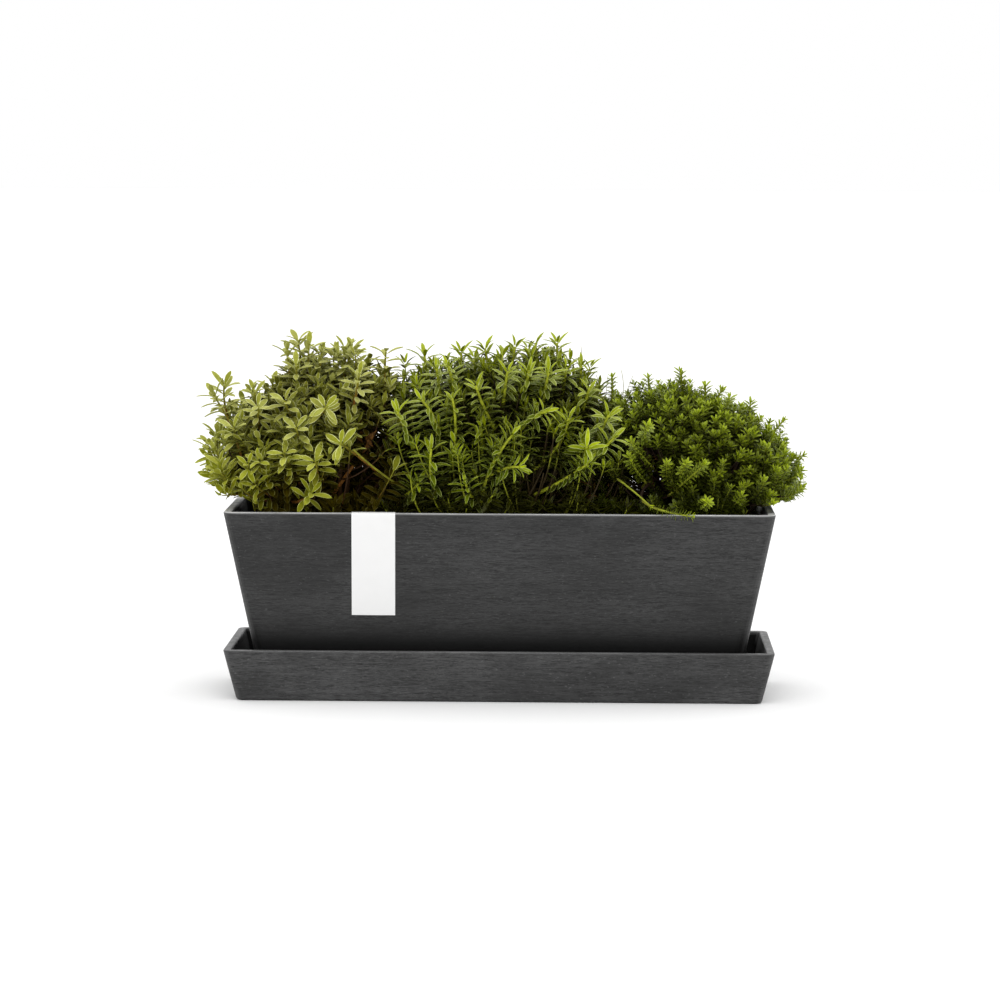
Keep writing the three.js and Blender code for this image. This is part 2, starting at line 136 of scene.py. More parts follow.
def unit(vectors):
    return vectors / np.maximum(np.linalg.norm(vectors, axis=-1, keepdims=True), 1e-9)


def square_to(along, vectors):
    """Unit vectors square to the first ones, as near to the given ones as may be."""
    return unit(vectors - (vectors * along).sum(-1, keepdims=True) * along)


def swung(first, second, turn):
    """The first vectors times the cosine of a turn, plus the second times its sine."""
    return first * np.cos(turn)[..., None] + second * np.sin(turn)[..., None]


def ring_faces(rows, count):
    """Quads of a tube of rings of count points, then fans to the two middle points after them."""
    here = np.arange(rows * count).reshape(rows, count)
    on = np.roll(here, -1, axis=1)
    quads = np.stack([here[:-1], on[:-1], on[1:], here[1:]], axis=-1).reshape(-1, 4)
    middle = np.full(count, rows * count)
    fans = (middle, on[0], here[0]), (middle + 1, here[-1], on[-1])
    return quads, np.concatenate([np.stack(fan, axis=-1) for fan in fans])


def repeat_faces(faces, copies, points_each):
    """The faces of one shape, again for each of its copies."""
    shift = (np.arange(copies) * points_each)[:, None, None]
    return (faces[None] + shift).reshape(-1, faces.shape[1])


def atlas_cells(copies, across, along):
    """UV places for copies of one shape, each in its own cell of a square grid. Its points lie in
    the cell at their shares across and along it."""
    rows = int(np.ceil(np.sqrt(copies)))
    order = np.arange(copies)
    inset = 0.12 + 0.76 * np.stack([across, along], axis=-1)
    cell = np.stack([order % rows, order // rows], axis=-1)
    return ((cell[:, None] + inset[None]) / rows).reshape(-1, 2)


def tubes(paths, radii, sides):
    """Round tubes along paths (n, k, 3) with radii (n, k): a ring is the path's point plus the
    radius times the cosine of a turn along one normal and its sine along the other."""
    along = unit(np.gradient(paths, axis=1))
    level = np.cross(unit(paths[:, -1] - paths[:, 0]), OBLIQUE)
    across = square_to(along, level[:, None])
    turn = np.arange(sides) / sides * 2 * np.pi
    ring = swung(across[:, :, None], np.cross(along, across)[:, :, None], turn)
    rings = paths[:, :, None] + radii[:, :, None, None] * ring
    count, steps = paths.shape[:2]
    points = np.concatenate([rings.reshape(count, -1, 3), paths[:, :1], paths[:, -1:]], axis=1)
    faces = [repeat_faces(part, count, points.shape[1]) for part in ring_faces(steps, sides)]
    return points.reshape(-1, 3), faces


# Materials


class Nodes:
    """The node tree of a new material or world. Its methods add nodes and give their outputs."""

    def __init__(self, owner):
        owner.use_nodes = True
        self.owner = owner
        self.tree = owner.node_tree

    def feed(self, socket, value):
        """Gives a socket its value: another socket, a number or a colour."""
        if isinstance(value, bpy.types.NodeSocket):
            self.tree.links.new(value, socket)
        elif socket.type == "RGBA":
            socket.default_value = (*tuple(value)[:3], 1.0)
        else:
            socket.default_value = value

    def add(self, kind, inputs=None, **options):
        """Adds a node with its options set and its inputs fed, and gives its outputs."""
        node = self.tree.nodes.new(kind)
        for key, value in options.items():
            setattr(node, key, value)
        for key, value in (inputs or {}).items():
            self.feed(node.inputs[key], value)
        return node.outputs

    def place(self):
        return self.add("ShaderNodeTexCoord")["Object"]

    def coordinates(self):
        return self.add("ShaderNodeSeparateXYZ", {"Vector": self.place()})[:]

    def attribute(self, name):
        return self.add("ShaderNodeAttribute", attribute_name=name)["Fac"]

    def noise(self, frequency, detail=3.0, roughness=0.6):
        """Noise over Object coordinates, with its own frequency along each axis."""
        place = self.add("ShaderNodeMapping", {"Scale": frequency, "Vector": self.place()})[0]
        inputs = {"Vector": place, "Scale": 1.0, "Detail": detail, "Roughness": roughness}
        return self.add("ShaderNodeTexNoise", inputs)[0]

    def ramp(self, value, low, high, low_to=0.0, high_to=1.0, smooth=False):
        inputs = {"Value": value, "From Min": low, "From Max": high, "To Min": low_to, "To Max": high_to}
        kind = "SMOOTHSTEP" if smooth else "LINEAR"
        return self.add("ShaderNodeMapRange", inputs, interpolation_type=kind)["Result"]

    def mix(self, factor, first, second, blend="MIX"):
        inputs = {0: factor, 6: first, 7: second}
        return self.add("ShaderNodeMix", inputs, data_type="RGBA", blend_type=blend)[2]

    def maths(self, operation, first, second=0.0):
        return self.add("ShaderNodeMath", {0: first, 1: second}, operation=operation)[0]

    def times(self, first, second):
        return self.maths("MULTIPLY", first, second)

    def surface(self, colour, roughness, specular, relief=None, strength=0.0, depth=0.0):
        """Feeds the shader, with a bump of a depth where there is a relief. Gives the material."""
        given = {"Base Color": colour, "Roughness": roughness, "Specular IOR Level": specular}
        if relief is not None:
            bump = {"Strength": strength, "Distance": depth, "Height": relief}
            given["Normal"] = self.add("ShaderNodeBump", bump)["Normal"]
        for key, value in given.items():
            self.feed(self.tree.nodes["Principled BSDF"].inputs[key], value)
        return self.owner


def material_nodes(name):
    return Nodes(bpy.data.materials.new(name))


def scaled(colour, times):
    return tuple(min(1.0, value * times) for value in colour)


def within_walls(nodes, node, slope):
    """How far a point of a tapered trough lies inside its outer end faces and its long faces,
    then its height and its place along the trough."""
    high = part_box(node)[1]
    along, across, height = nodes.coordinates()
    lean = nodes.times(nodes.maths("SUBTRACT", high.z, height), np.tan(np.radians(slope)))
    inside = [
        nodes.maths("SUBTRACT", nodes.maths("SUBTRACT", half, lean), nodes.maths("ABSOLUTE", place))
        for place, half in ((along, high.x), (across, high.y))]
    return *inside, height, along


def moulded_grey(look, node, slope, tone, wear, painted_shade_top, painted_shade_below):
    """Dark recycled plastic, brushed along its length. Over the streaks' colour lie layers, each
    a tone and where it shows. The foot darkens below a height, and the inner faces dim below
    the rim."""
    nodes = material_nodes(f"{node}_finish")
    ramp, times = nodes.ramp, nodes.times
    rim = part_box(node)[1].z
    along, across = 1 / look.streak_length, 1 / look.streak_width
    streaks = nodes.noise((along, along, across), detail=6.0, roughness=0.74)
    long_streaks = nodes.noise((along / 4, along / 4, across / 3))
    clouds = nodes.noise((8.0, 8.0, 19.0), detail=4.0)
    dashes = nodes.noise((260.0, 260.0, 800.0), detail=1.0)
    patches = nodes.noise((6.0, 40.0, 40.0), detail=4.0)
    ends, sides, height, place = within_walls(nodes, node, slope)
    nearest = nodes.maths("MINIMUM", ends, sides)
    # Painted shade: the inner faces darken below the rim, where shade falls; the same mask makes them matt
    painted_inner_shade = ramp(height, rim - painted_shade_below, rim - 1.5 * MM, 0.94, 0.0, smooth=True)
    inside = times(ramp(nearest, 3 * MM, 5 * MM), painted_inner_shade)
    # Painted light: the right end's inner face is painted pale below the rim, where light falls on it
    end_face = times(ramp(nearest, 5 * MM, 8 * MM), ramp(ends, 9.5 * MM, 11 * MM, 1.0, 0.0))
    painted_end_light = times(ramp(place, 0.2, 0.21), ramp(height, rim - 14 * MM, rim - 6 * MM, 0.0, wear))
    corner = ramp(nodes.maths("MAXIMUM", ends, sides), 1.5 * MM, 7 * MM, 0.5, 0.0, smooth=True)
    # Painted highlights: the rim's top and its crest are painted pale where light glints off them
    painted_crest_glint = ramp(height, rim - 0.9 * MM, rim - 0.3 * MM, 0.0, wear, smooth=True)
    layers = {
        "dark scores": (0.15, ramp(dashes, 0.3, 0.4, 0.6, 0.0)),
        "long streaks": (2.1, ramp(long_streaks, 0.42, 0.65, 0.0, 0.5)),
        "clouds": (0.3, ramp(clouds, 0.4, 0.66, 0.0, 0.6)),
        "pale specks": (3.6, ramp(dashes, 0.66, 0.76, 0.0, 0.45)),
        # Painted shade: darker towards the foot, where the saucer's wall shades the planter
        "painted shade at the foot": (0.12, ramp(height, painted_shade_top - FOOT_FADE, painted_shade_top, 0.95, 0.0, smooth=True)),
        # Painted shade on the inner faces below the rim
        "painted shade on the inner faces": (0.06, inside),
        # Painted light on the right end's inner face
        "painted light on the right end's inner face": (26.0, times(end_face, painted_end_light)),
        # Paler in mottled patches at the vertical corners
        "paler mottled corners": (2.6, times(corner, ramp(patches, 0.35, 0.62))),
        # Painted highlight on the rim's top
        "painted highlight on the rim": (5.0, ramp(height, rim - 2.6 * MM, rim - 1.0 * MM, 0.0, 0.75 * wear, smooth=True)),
        # Painted glint along the rim's crest, broken up in patches
        "painted glint along the rim's top edge": (30.0, times(painted_crest_glint, ramp(patches, 0.36, 0.56, 0.3, 1.0))),
    }
    base = scaled(look.colour, tone)
    colour = nodes.mix(ramp(streaks, 0.38, 0.64), scaled(base, 0.12), scaled(base, 2.05))
    for label, (strength, where) in layers.items():
        colour = nodes.mix(where, colour, scaled(base, strength))
        colour.node.label = label
    rough = ramp(streaks, 0.35, 0.65, look.roughness + 0.1, look.roughness - 0.1)
    relief = nodes.maths("ADD", streaks, times(dashes, 0.4))
    rough = nodes.maths("MAXIMUM", rough, inside)
    return nodes.surface(colour, rough, specular=0.3, relief=relief, strength=0.7, depth=look.streak_depth)


def card_paper(look):
    """Smooth white card with faint fibres and a slight unevenness."""
    nodes = material_nodes("label_card_finish")
    fibres = nodes.noise((900.0, 900.0, 260.0), detail=4.0, roughness=0.7)
    clouds = nodes.noise((60.0, 60.0, 60.0), detail=2.0)
    shaded = scaled(look.colour, 0.975)
    colour = nodes.mix(nodes.ramp(clouds, 0.4, 0.65, 0.0, 0.5), look.colour, shaded)
    colour = nodes.mix(nodes.ramp(fibres, 0.58, 0.75, 0.0, 0.6), colour, shaded)
    roughness = nodes.ramp(fibres, 0.3, 0.7, 0.62, 0.5)
    return nodes.surface(colour, roughness, specular=0.35, relief=fibres, strength=0.2, depth=0.04 * MM)


def crumbs(name, dark, middle, light, grain, depth):
    """Crumbly earth or clay: three tones by a fine cell pattern and a broad cloud, and a bump."""
    nodes = material_nodes(name)
    cells = nodes.add("ShaderNodeTexVoronoi", {"Scale": 1 / grain, "Vector": nodes.place()})
    clouds = nodes.noise((0.35 / grain,) * 3, detail=5.0, roughness=0.5)
    pick = nodes.add("ShaderNodeSeparateColor", {"Color": cells["Color"]})[0]
    tone = nodes.mix(nodes.ramp(clouds, 0.35, 0.65), dark, middle)
    colour = nodes.mix(nodes.ramp(pick, 0.82, 0.9), tone, light)
    relief = nodes.maths("SUBTRACT", clouds, cells["Distance"])
    roughness = nodes.ramp(clouds, 0.3, 0.7, 0.98, 0.8)
    return nodes.surface(colour, roughness, specular=0.2, relief=relief, strength=0.8, depth=depth)


def leaf_finish(name, look, low_tint):
    """A waxy leaf: its tone goes from the young to the grown leaf's with age, to the bloom's
    where it faces up and to the inner leaf's with shade. It is tinted low in the canopy, varies
    from leaf to leaf, and has a pale edge and midrib. An age over one is a dead leaf."""
    nodes = material_nodes(name)
    mix, ramp = nodes.mix, nodes.ramp
    across = nodes.maths("ABSOLUTE", nodes.attribute("across"))
    age, shade, tint, bloom = map(nodes.attribute, ("age", "shade", "tint", "bloom"))
    mottle = nodes.noise((420.0, 420.0, 420.0))
    low = ramp(nodes.coordinates()[2], RIM + 25 * MM, RIM + 105 * MM, 1.0, 0.0, smooth=True)
    colour = mix(ramp(age, 0.02, look.ripening, smooth=True), look.young_leaf, look.grown_leaf)
    colour = mix(ramp(tint, 0.0, 0.9, 0.0, 0.4), colour, scaled(look.grown_leaf, 0.5))
    colour = mix(ramp(tint, 0.9, 1.0, 0.0, 0.5), colour, look.young_leaf)
    # Painted top light: leaves that face up are painted paler, as if lit from above
    tinted = mix(low, mix(bloom, colour, look.bloom), low_tint, blend="MULTIPLY")
    # Painted shade: leaves deep in the canopy are painted towards a near-black green
    colour = mix(ramp(shade, 0.0, 1.0, smooth=True), tinted, look.inner_leaf)
    # Random darker mottles in the same dark tone
    colour = mix(ramp(mottle, 0.35, 0.7, 0.0, 0.3), colour, scaled(look.inner_leaf, 0.6))
    colour = mix(ramp(across, 0.02, 0.2, look.midrib, 0.0), colour, tinted)
    strength = ramp(shade, 0.0, 1.0, look.edge_strength, look.edge_strength * 0.12)
    edge = nodes.times(ramp(across, 0.97 - look.edge_width, 1.03 - look.edge_width), strength)
    low_edge = [value * (0.5 + 0.5 * part) for value, part in zip(look.leaf_edge, low_tint)]
    colour = mix(edge, colour, mix(low, look.leaf_edge, low_edge))
    dead = mix(ramp(mottle, 0.4, 0.6), (0.1, 0.045, 0.01), (0.03, 0.014, 0.004))
    colour = mix(ramp(age, 1.2, 1.4), colour, dead)
    roughness = ramp(mottle, 0.3, 0.7, look.gloss, look.gloss + 0.16)
    return nodes.surface(
        colour, roughness, specular=look.shine, relief=mottle, strength=0.3, depth=0.15 * MM)


def bark_finish(name, green, woody, wood_from, wood_to):
    """Stems, green at the tip and ridged brown wood lower down. With an age below none they are
    straw."""
    nodes = material_nodes(name)
    mix, ramp = nodes.mix, nodes.ramp
    age = nodes.attribute("age")
    ridges = nodes.noise((700.0, 700.0, 160.0), detail=4.0)
    scars = nodes.noise((90.0, 90.0, 330.0), detail=2.0)
    wood = mix(ramp(ridges, 0.35, 0.65), woody, scaled(woody, 0.35))
    fresh = mix(ramp(scars, 0.4, 0.62), green, scaled(green, 0.6))
    colour = mix(ramp(age, wood_from, wood_to, smooth=True), fresh, wood)
    colour = mix(ramp(age, -0.9, -0.5, 1.0, 0.0), colour, (0.45, 0.44, 0.26))
    colour = mix(ramp(nodes.attribute("shade"), 0.0, 0.8), colour, scaled(woody, 0.12))
    roughness = ramp(ridges, 0.3, 0.7, 0.75, 0.55)
    return nodes.surface(colour, roughness, specular=0.25, relief=ridges, strength=0.5, depth=0.25 * MM)


# Shapes


def label_strip(look):
    """The card as a profile carried across its width, a little bowed. The profile runs up the
    front of the wall, over the rim in two rounded folds and down the inside. Its lower end stands
    off the wall."""
    low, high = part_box("label_card")
    gap, fold, play, bow = np.array((0.35, 1.6, 0.3, 0.25)) * MM
    top = RIM + gap
    outer = -(HALF_DEPTH + play)
    turn = np.linspace(0.0, 1.0, 7)[1:] * QUARTER
    swing, climb = fold * (1 - np.cos(turn)), fold * np.sin(turn)
    down = np.linspace(low.z, top - fold, 26)
    flap = np.linspace(top - fold, RIM - 40 * MM, 10)[1:]
    front = outer + (RIM - (top - fold)) * LEAN - gap
    back = outer + (RIM - top) * LEAN + WALL_ACROSS + play + gap - fold
    curl = look.curl * ((top - down) / (top - low.z)) ** 2
    parts = (
        (outer + (RIM - down) * LEAN - gap - curl, down),
        (front + swing, top - fold + climb),
        (np.linspace(front + swing[-1], back, 5)[1:], np.full(4, top)),
        (back + climb, top - swing),
        (back + climb[-1] + (top - fold - flap) * LEAN, flap),
    )
    line = np.concatenate([np.stack(part, axis=1) for part in parts])
    along = unit(np.gradient(line, axis=0))
    out = np.stack([-along[:, 1], along[:, 0]], axis=1)
    y, z = np.concatenate([line, (line + out * look.thickness)[::-1]]).T
    width = np.linspace(-1, 1, 13)[:, None]
    x = np.linspace(low.x, high.x, len(width))[:, None] - look.slant * (top - z) / (top - low.z)
    y = y - bow * np.cos(width * QUARTER) * (z < RIM - 12 * MM)
    return np.stack(np.broadcast_arrays(x, y, z), axis=-1)


def rounded_rectangle(half_x, half_y, corner, steps=60):
    """Anticlockwise points of a rectangle with round corners."""
    turn = np.concatenate([np.linspace(quarter, quarter + 1, steps) for quarter in range(4)]) * QUARTER
    signs = np.repeat([[1, 1], [-1, 1], [-1, -1], [1, -1]], steps, axis=0)
    round_part = corner * np.stack([np.cos(turn), np.sin(turn)], axis=1)
    return signs * (half_x - corner, half_y - corner) + round_part


def lumps(x, y, seed, size):
    """Random ground: a sum of sine waves in all bearings, whose lengths shrink from size."""
    dice = np.random.default_rng(seed)
    total = np.zeros_like(x)
    for octave in np.repeat(np.arange(5), 5):
        turn, phase = dice.uniform(0, 2 * np.pi, 2)
        wave = 2 * np.pi * 1.8**octave / size
        total += np.sin(wave * (x * np.cos(turn) + y * np.sin(turn)) + phase) / 1.7**octave
    return total / 5


def soil_block(look):
    """The soil as rings of a rounded rectangle: one on the drainage layer, then those of the top,
    which shrink towards the middle and whose height is rolling ground and crumbs."""
    low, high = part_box("potting_soil")
    play = 0.2 * MM
    drawn_in = (high.z - low.z) * LEAN
    foot = rounded_rectangle(high.x - drawn_in, high.y - drawn_in, 4 * MM)
    rings = [np.column_stack([foot, np.full(len(foot), low.z + play)])]
    for span in np.linspace(0.0, 1.0, 34)[:-1]:
        half_y = high.y * (1 - span) - play
        flat = rounded_rectangle(high.x - play - span * high.y, half_y, min(5 * MM, half_y * 0.9))
        ground = lumps(*flat.T, seed=5, size=0.05) + 0.5 * lumps(*flat.T, seed=9, size=0.012)
        level = SOIL_TOP + look.crown * (0.4 + 0.6 * np.sin(min(span * 3, 1) * QUARTER))
        rings.append(np.column_stack([flat, level + look.unevenness * ground]))
    return np.stack(rings)


# The shrubs' forms, in millimetres along the trough, across it and up
# crown: where along the trough the boughs leave the soil
# middle and roundness: the canopy's middle, and the power of the superellipse across it
# outline and leads: where the camera sees the canopy's edge and its longest leaf tips, (along, up)
# front: the shoots that face the viewer, each with its start, its knee and its tip, seen on the
#     plane of the trough's middle, how far its top leaves open, and the share of it that bears
#     leaves if that isn't all
# trunks: bare wood, placed likewise, with its width and its age: one for wood, none for green,
#     and less for a dry stalk
# hollows: where the front opens to the stems inside, (along, up, half width, half height)
# dead: the places of dry leaves, and how many lie there
# blade: stations along a leaf, its half width there and its bend, as shares
# whorl and ring: how many leaves a whorl has, and how many points a ring round a leaf has
# lifts and sizes: how far the leaves turn from square to the stem, in degrees, and their size as
#     a share of a grown leaf's, at five places from the tip down
# bark and low_tint: the ages from which and at which a stem is wood, and the leaves' tint low down
LEFT_FORM = dict(
    node="shrub_left", slot="variegated_foliage", seed=11, crown=-170, middle=(-200, 0, 262), roundness=2.6,
    outline=[
        (-302, 196), (-297, 284), (-284, 306), (-250, 312), (-232, 328), (-206, 360), (-181, 352),
        (-145, 355), (-117, 348), (-96, 330), (-86, 192),
    ],
    leads=[(-258, 317), (-241, 319), (-182, 357), (-164, 357), (-147, 360), (-133, 349), (-300, 262)],
    front=[
        (-193, 5, 286, -202, -8, 326, -206, -16, 357, 0.3),
        (-256, -16, 243, -277, -22, 276, -292, -26, 302, 0.3, 0.4),
        (-212, -12, 300, -215, -18, 326, -217, -22, 346, 0.15),
        (-198, -12, 304, -196, -18, 330, -195, -24, 350, 0.15),
        (-206, -24, 292, -207, -34, 314, -208, -42, 333, 0.25),
        (-160, -10, 300, -159, -18, 328, -158, -24, 348, 0.3),
        (-186, -14, 300, -184, -20, 326, -182, -26, 345, 0.3),
        (-274, 10, 268, -283, 4, 292, -281, -6, 311, 0.1),
        (-243, -20, 262, -250, -26, 288, -250, -34, 304, 0.2),
        (-243, -30, 254, -247, -48, 274, -247, -62, 290, 0.6),
        (-226, 0, 272, -232, -6, 296, -232, -10, 314, 0.1),
        (-276, -8, 206, -291, -16, 234, -288, -24, 262, 0.1),
        (-240, -40, 198, -262, -48, 202, -284, -54, 209, 0.3),
        (-246, -60, 195, -257, -66, 198, -263, -70, 206, 0.2),
        (-186, -40, 274, -180, -66, 285, -178, -86, 289, 0.85),
        (-128, -46, 226, -157, -66, 249, -163, -88, 252, 0.85, 0.35),
        (-206, -50, 214, -217, -68, 232, -221, -82, 243, 0.5),
        (-186, -52, 214, -186, -68, 226, -189, -80, 234, 0.4),
        (-228, -48, 212, -240, -62, 226, -247, -72, 234, 0.4),
        (-232, -52, 198, -244, -62, 202, -250, -72, 210, 0.4),
        (-118, -8, 290, -119, -14, 322, -117, -20, 346, 0.6),
        (-170, 0, 284, -170, -14, 316, -170, -24, 341, 0.2),
        (-143, -6, 280, -146, -22, 312, -148, -34, 342, 0.2),
        (-205, -40, 262, -214, -56, 280, -220, -66, 296, 0.4),
        (-150, -52, 290, -146, -64, 306, -144, -72, 322, 0.3),
        (-262, -36, 232, -268, -46, 252, -272, -54, 268, 0.4),
        (-200, -52, 250, -206, -66, 258, -208, -76, 268, 0.5),
        (-205, -60, 193, -196, -68, 196, -192, -74, 202, 0.5),
        (-262, -14, 222, -280, -18, 232, -296, -22, 238, 0.1),
        (-258, -20, 210, -278, -24, 216, -294, -28, 222, 0.1),
        (-262, -8, 236, -278, -10, 246, -289, -12, 258, 0.1),
        (-256, -34, 206, -268, -40, 204, -280, -46, 207, 0.2),
        (-252, -44, 212, -256, -60, 220, -257, -72, 231, 0.3),
    ],
    trunks=[
        (-192, -34, 200, -198, -42, 216, -206, -48, 236, 4.4, 1.0),
        (-174, -30, 196, -164, -38, 210, -150, -42, 230, 3.8, 1.0),
        (-184, -26, 198, -182, -32, 214, -176, -38, 234, 3.4, 1.0),
        (-90, -50, 203, -118, -62, 216, -150, -80, 246, 2.2, 0.0),
    ],
    hollows=[
        (-146, 216, 38, 25), (-128, 256, 20, 16), (-200, 206, 24, 12), (-236, 198, 18, 7),
        (-302, 280, 20, 12), (-277, 240, 10, 9),
    ],
    dead=[(-136, -56, 254, 6), (-150, -62, 264, 3)],
    blade=[
        (0.12, 0.4, 0.0), (0.36, 0.82, 0.0), (0.6, 1.0, -0.03), (0.81, 0.78, -0.08), (0.94, 0.36, -0.11),
    ],
    whorl=2, ring=4, lifts=(66, 48, 32, 18, 2), sizes=(0.72, 0.95, 1.0, 1.0, 0.85), bark=(0.0, 0.45),
    low_tint=(0.96, 0.98, 0.42),
)
MIDDLE_FORM = dict(
    node="shrub_middle", slot="lance_foliage", seed=23, crown=0, middle=(6, 0, 262), roundness=2.6,
    outline=[
        (-124, 192), (-116, 316), (-94, 346), (-39, 355), (9, 361), (57, 366), (71, 348), (89, 340),
        (104, 320), (122, 290), (130, 250), (134, 192),
    ],
    leads=[
        (-98, 346), (-58, 350), (-28, 352), (2, 356), (26, 362), (45, 356), (71, 350), (91, 344),
        (100, 324), (-70, 338),
    ],
    front=[
        (-74, 0, 292, -76, -8, 320, -78, -14, 343, 0.3), (-38, 0, 300, -40, -6, 326, -41, -12, 346, 0.1),
        (-8, 0, 300, -13, -8, 328, -17, -14, 350, 0.3), (5, 0, 300, 10, -6, 330, 14, -10, 352, 0.2),
        (38, 4, 306, 36, 0, 334, 34, -6, 356, 0.2), (58, 0, 300, 57, -8, 332, 56, -14, 356, 0.4),
        (77, -8, 285, 79, -18, 310, 81, -26, 333, 0.3), (60, -20, 290, 63, -34, 312, 66, -44, 331, 0.2),
        (20, -30, 282, 24, -50, 305, 28, -62, 328, 0.2), (-54, -46, 220, -41, -66, 262, -50, -76, 300, 0.4),
        (-64, -50, 248, -62, -70, 279, -81, -82, 297, 0.5),
        (-88, -48, 243, -96, -66, 268, -106, -78, 285, 0.5),
        (-62, -52, 200, -75, -70, 213, -71, -84, 248, 0.2),
        (-20, -58, 194, -17, -74, 226, 12, -85, 263, 0.1), (-12, -64, 220, 4, -78, 231, 19, -86, 229, 0.1),
        (-18, -48, 226, -20, -60, 250, -21, -68, 273, 0.2), (14, -50, 262, 26, -70, 281, 47, -84, 286, 0.2),
        (28, -44, 224, 64, -60, 246, 68, -76, 280, 0.0, 0.4),
        (80, -46, 234, 84, -64, 243, 87, -80, 250, 0.5),
        (36, -44, 202, 62, -62, 214, 89, -82, 234, 0.4, 0.75),
        (88, -52, 234, 100, -68, 245, 115, -80, 260, 0.2),
        (95, -44, 250, 101, -60, 268, 109, -74, 283, 0.3), (80, -30, 280, 84, -44, 292, 89, -56, 310, 0.2),
        (-8, -50, 270, -20, -62, 292, -26, -70, 312, 0.3),
        (-62, -40, 300, -64, -52, 314, -66, -60, 329, 0.3),
        (-46, -44, 304, -50, -54, 318, -54, -62, 332, 0.2), (2, -50, 296, 4, -62, 312, 6, -70, 327, 0.3),
        (42, -44, 292, 45, -58, 312, 48, -68, 327, 0.2), (-26, -56, 194, -32, -68, 200, -36, -76, 212, 0.3),
        (-96, -50, 200, -90, -62, 204, -84, -72, 212, 0.4),
    ],
    trunks=[
        (30, -30, 196, 36, -36, 214, 34, -40, 236, 3.2, 1.0),
        (79, 0, 326, 82, 0, 340, 80, 0, 353, 0.7, -1.0),
        (92, -20, 196, 96, -26, 206, 94, -30, 220, 2.4, 1.0),
    ],
    hollows=[(42, 212, 34, 22), (48, 252, 16, 13), (-112, 222, 16, 28), (100, 208, 22, 18)],
    dead=[(96, -50, 204, 6)],
    blade=[(0.12, 0.62, 0.0), (0.4, 1.0, 0.01), (0.7, 0.86, -0.05), (0.9, 0.42, -0.12)],
    whorl=2, ring=4, lifts=(74, 54, 34, 18, 0), sizes=(0.68, 0.92, 1.0, 1.0, 0.92), bark=(0.4, 1.0),
    low_tint=(0.95, 1.0, 0.8),
)
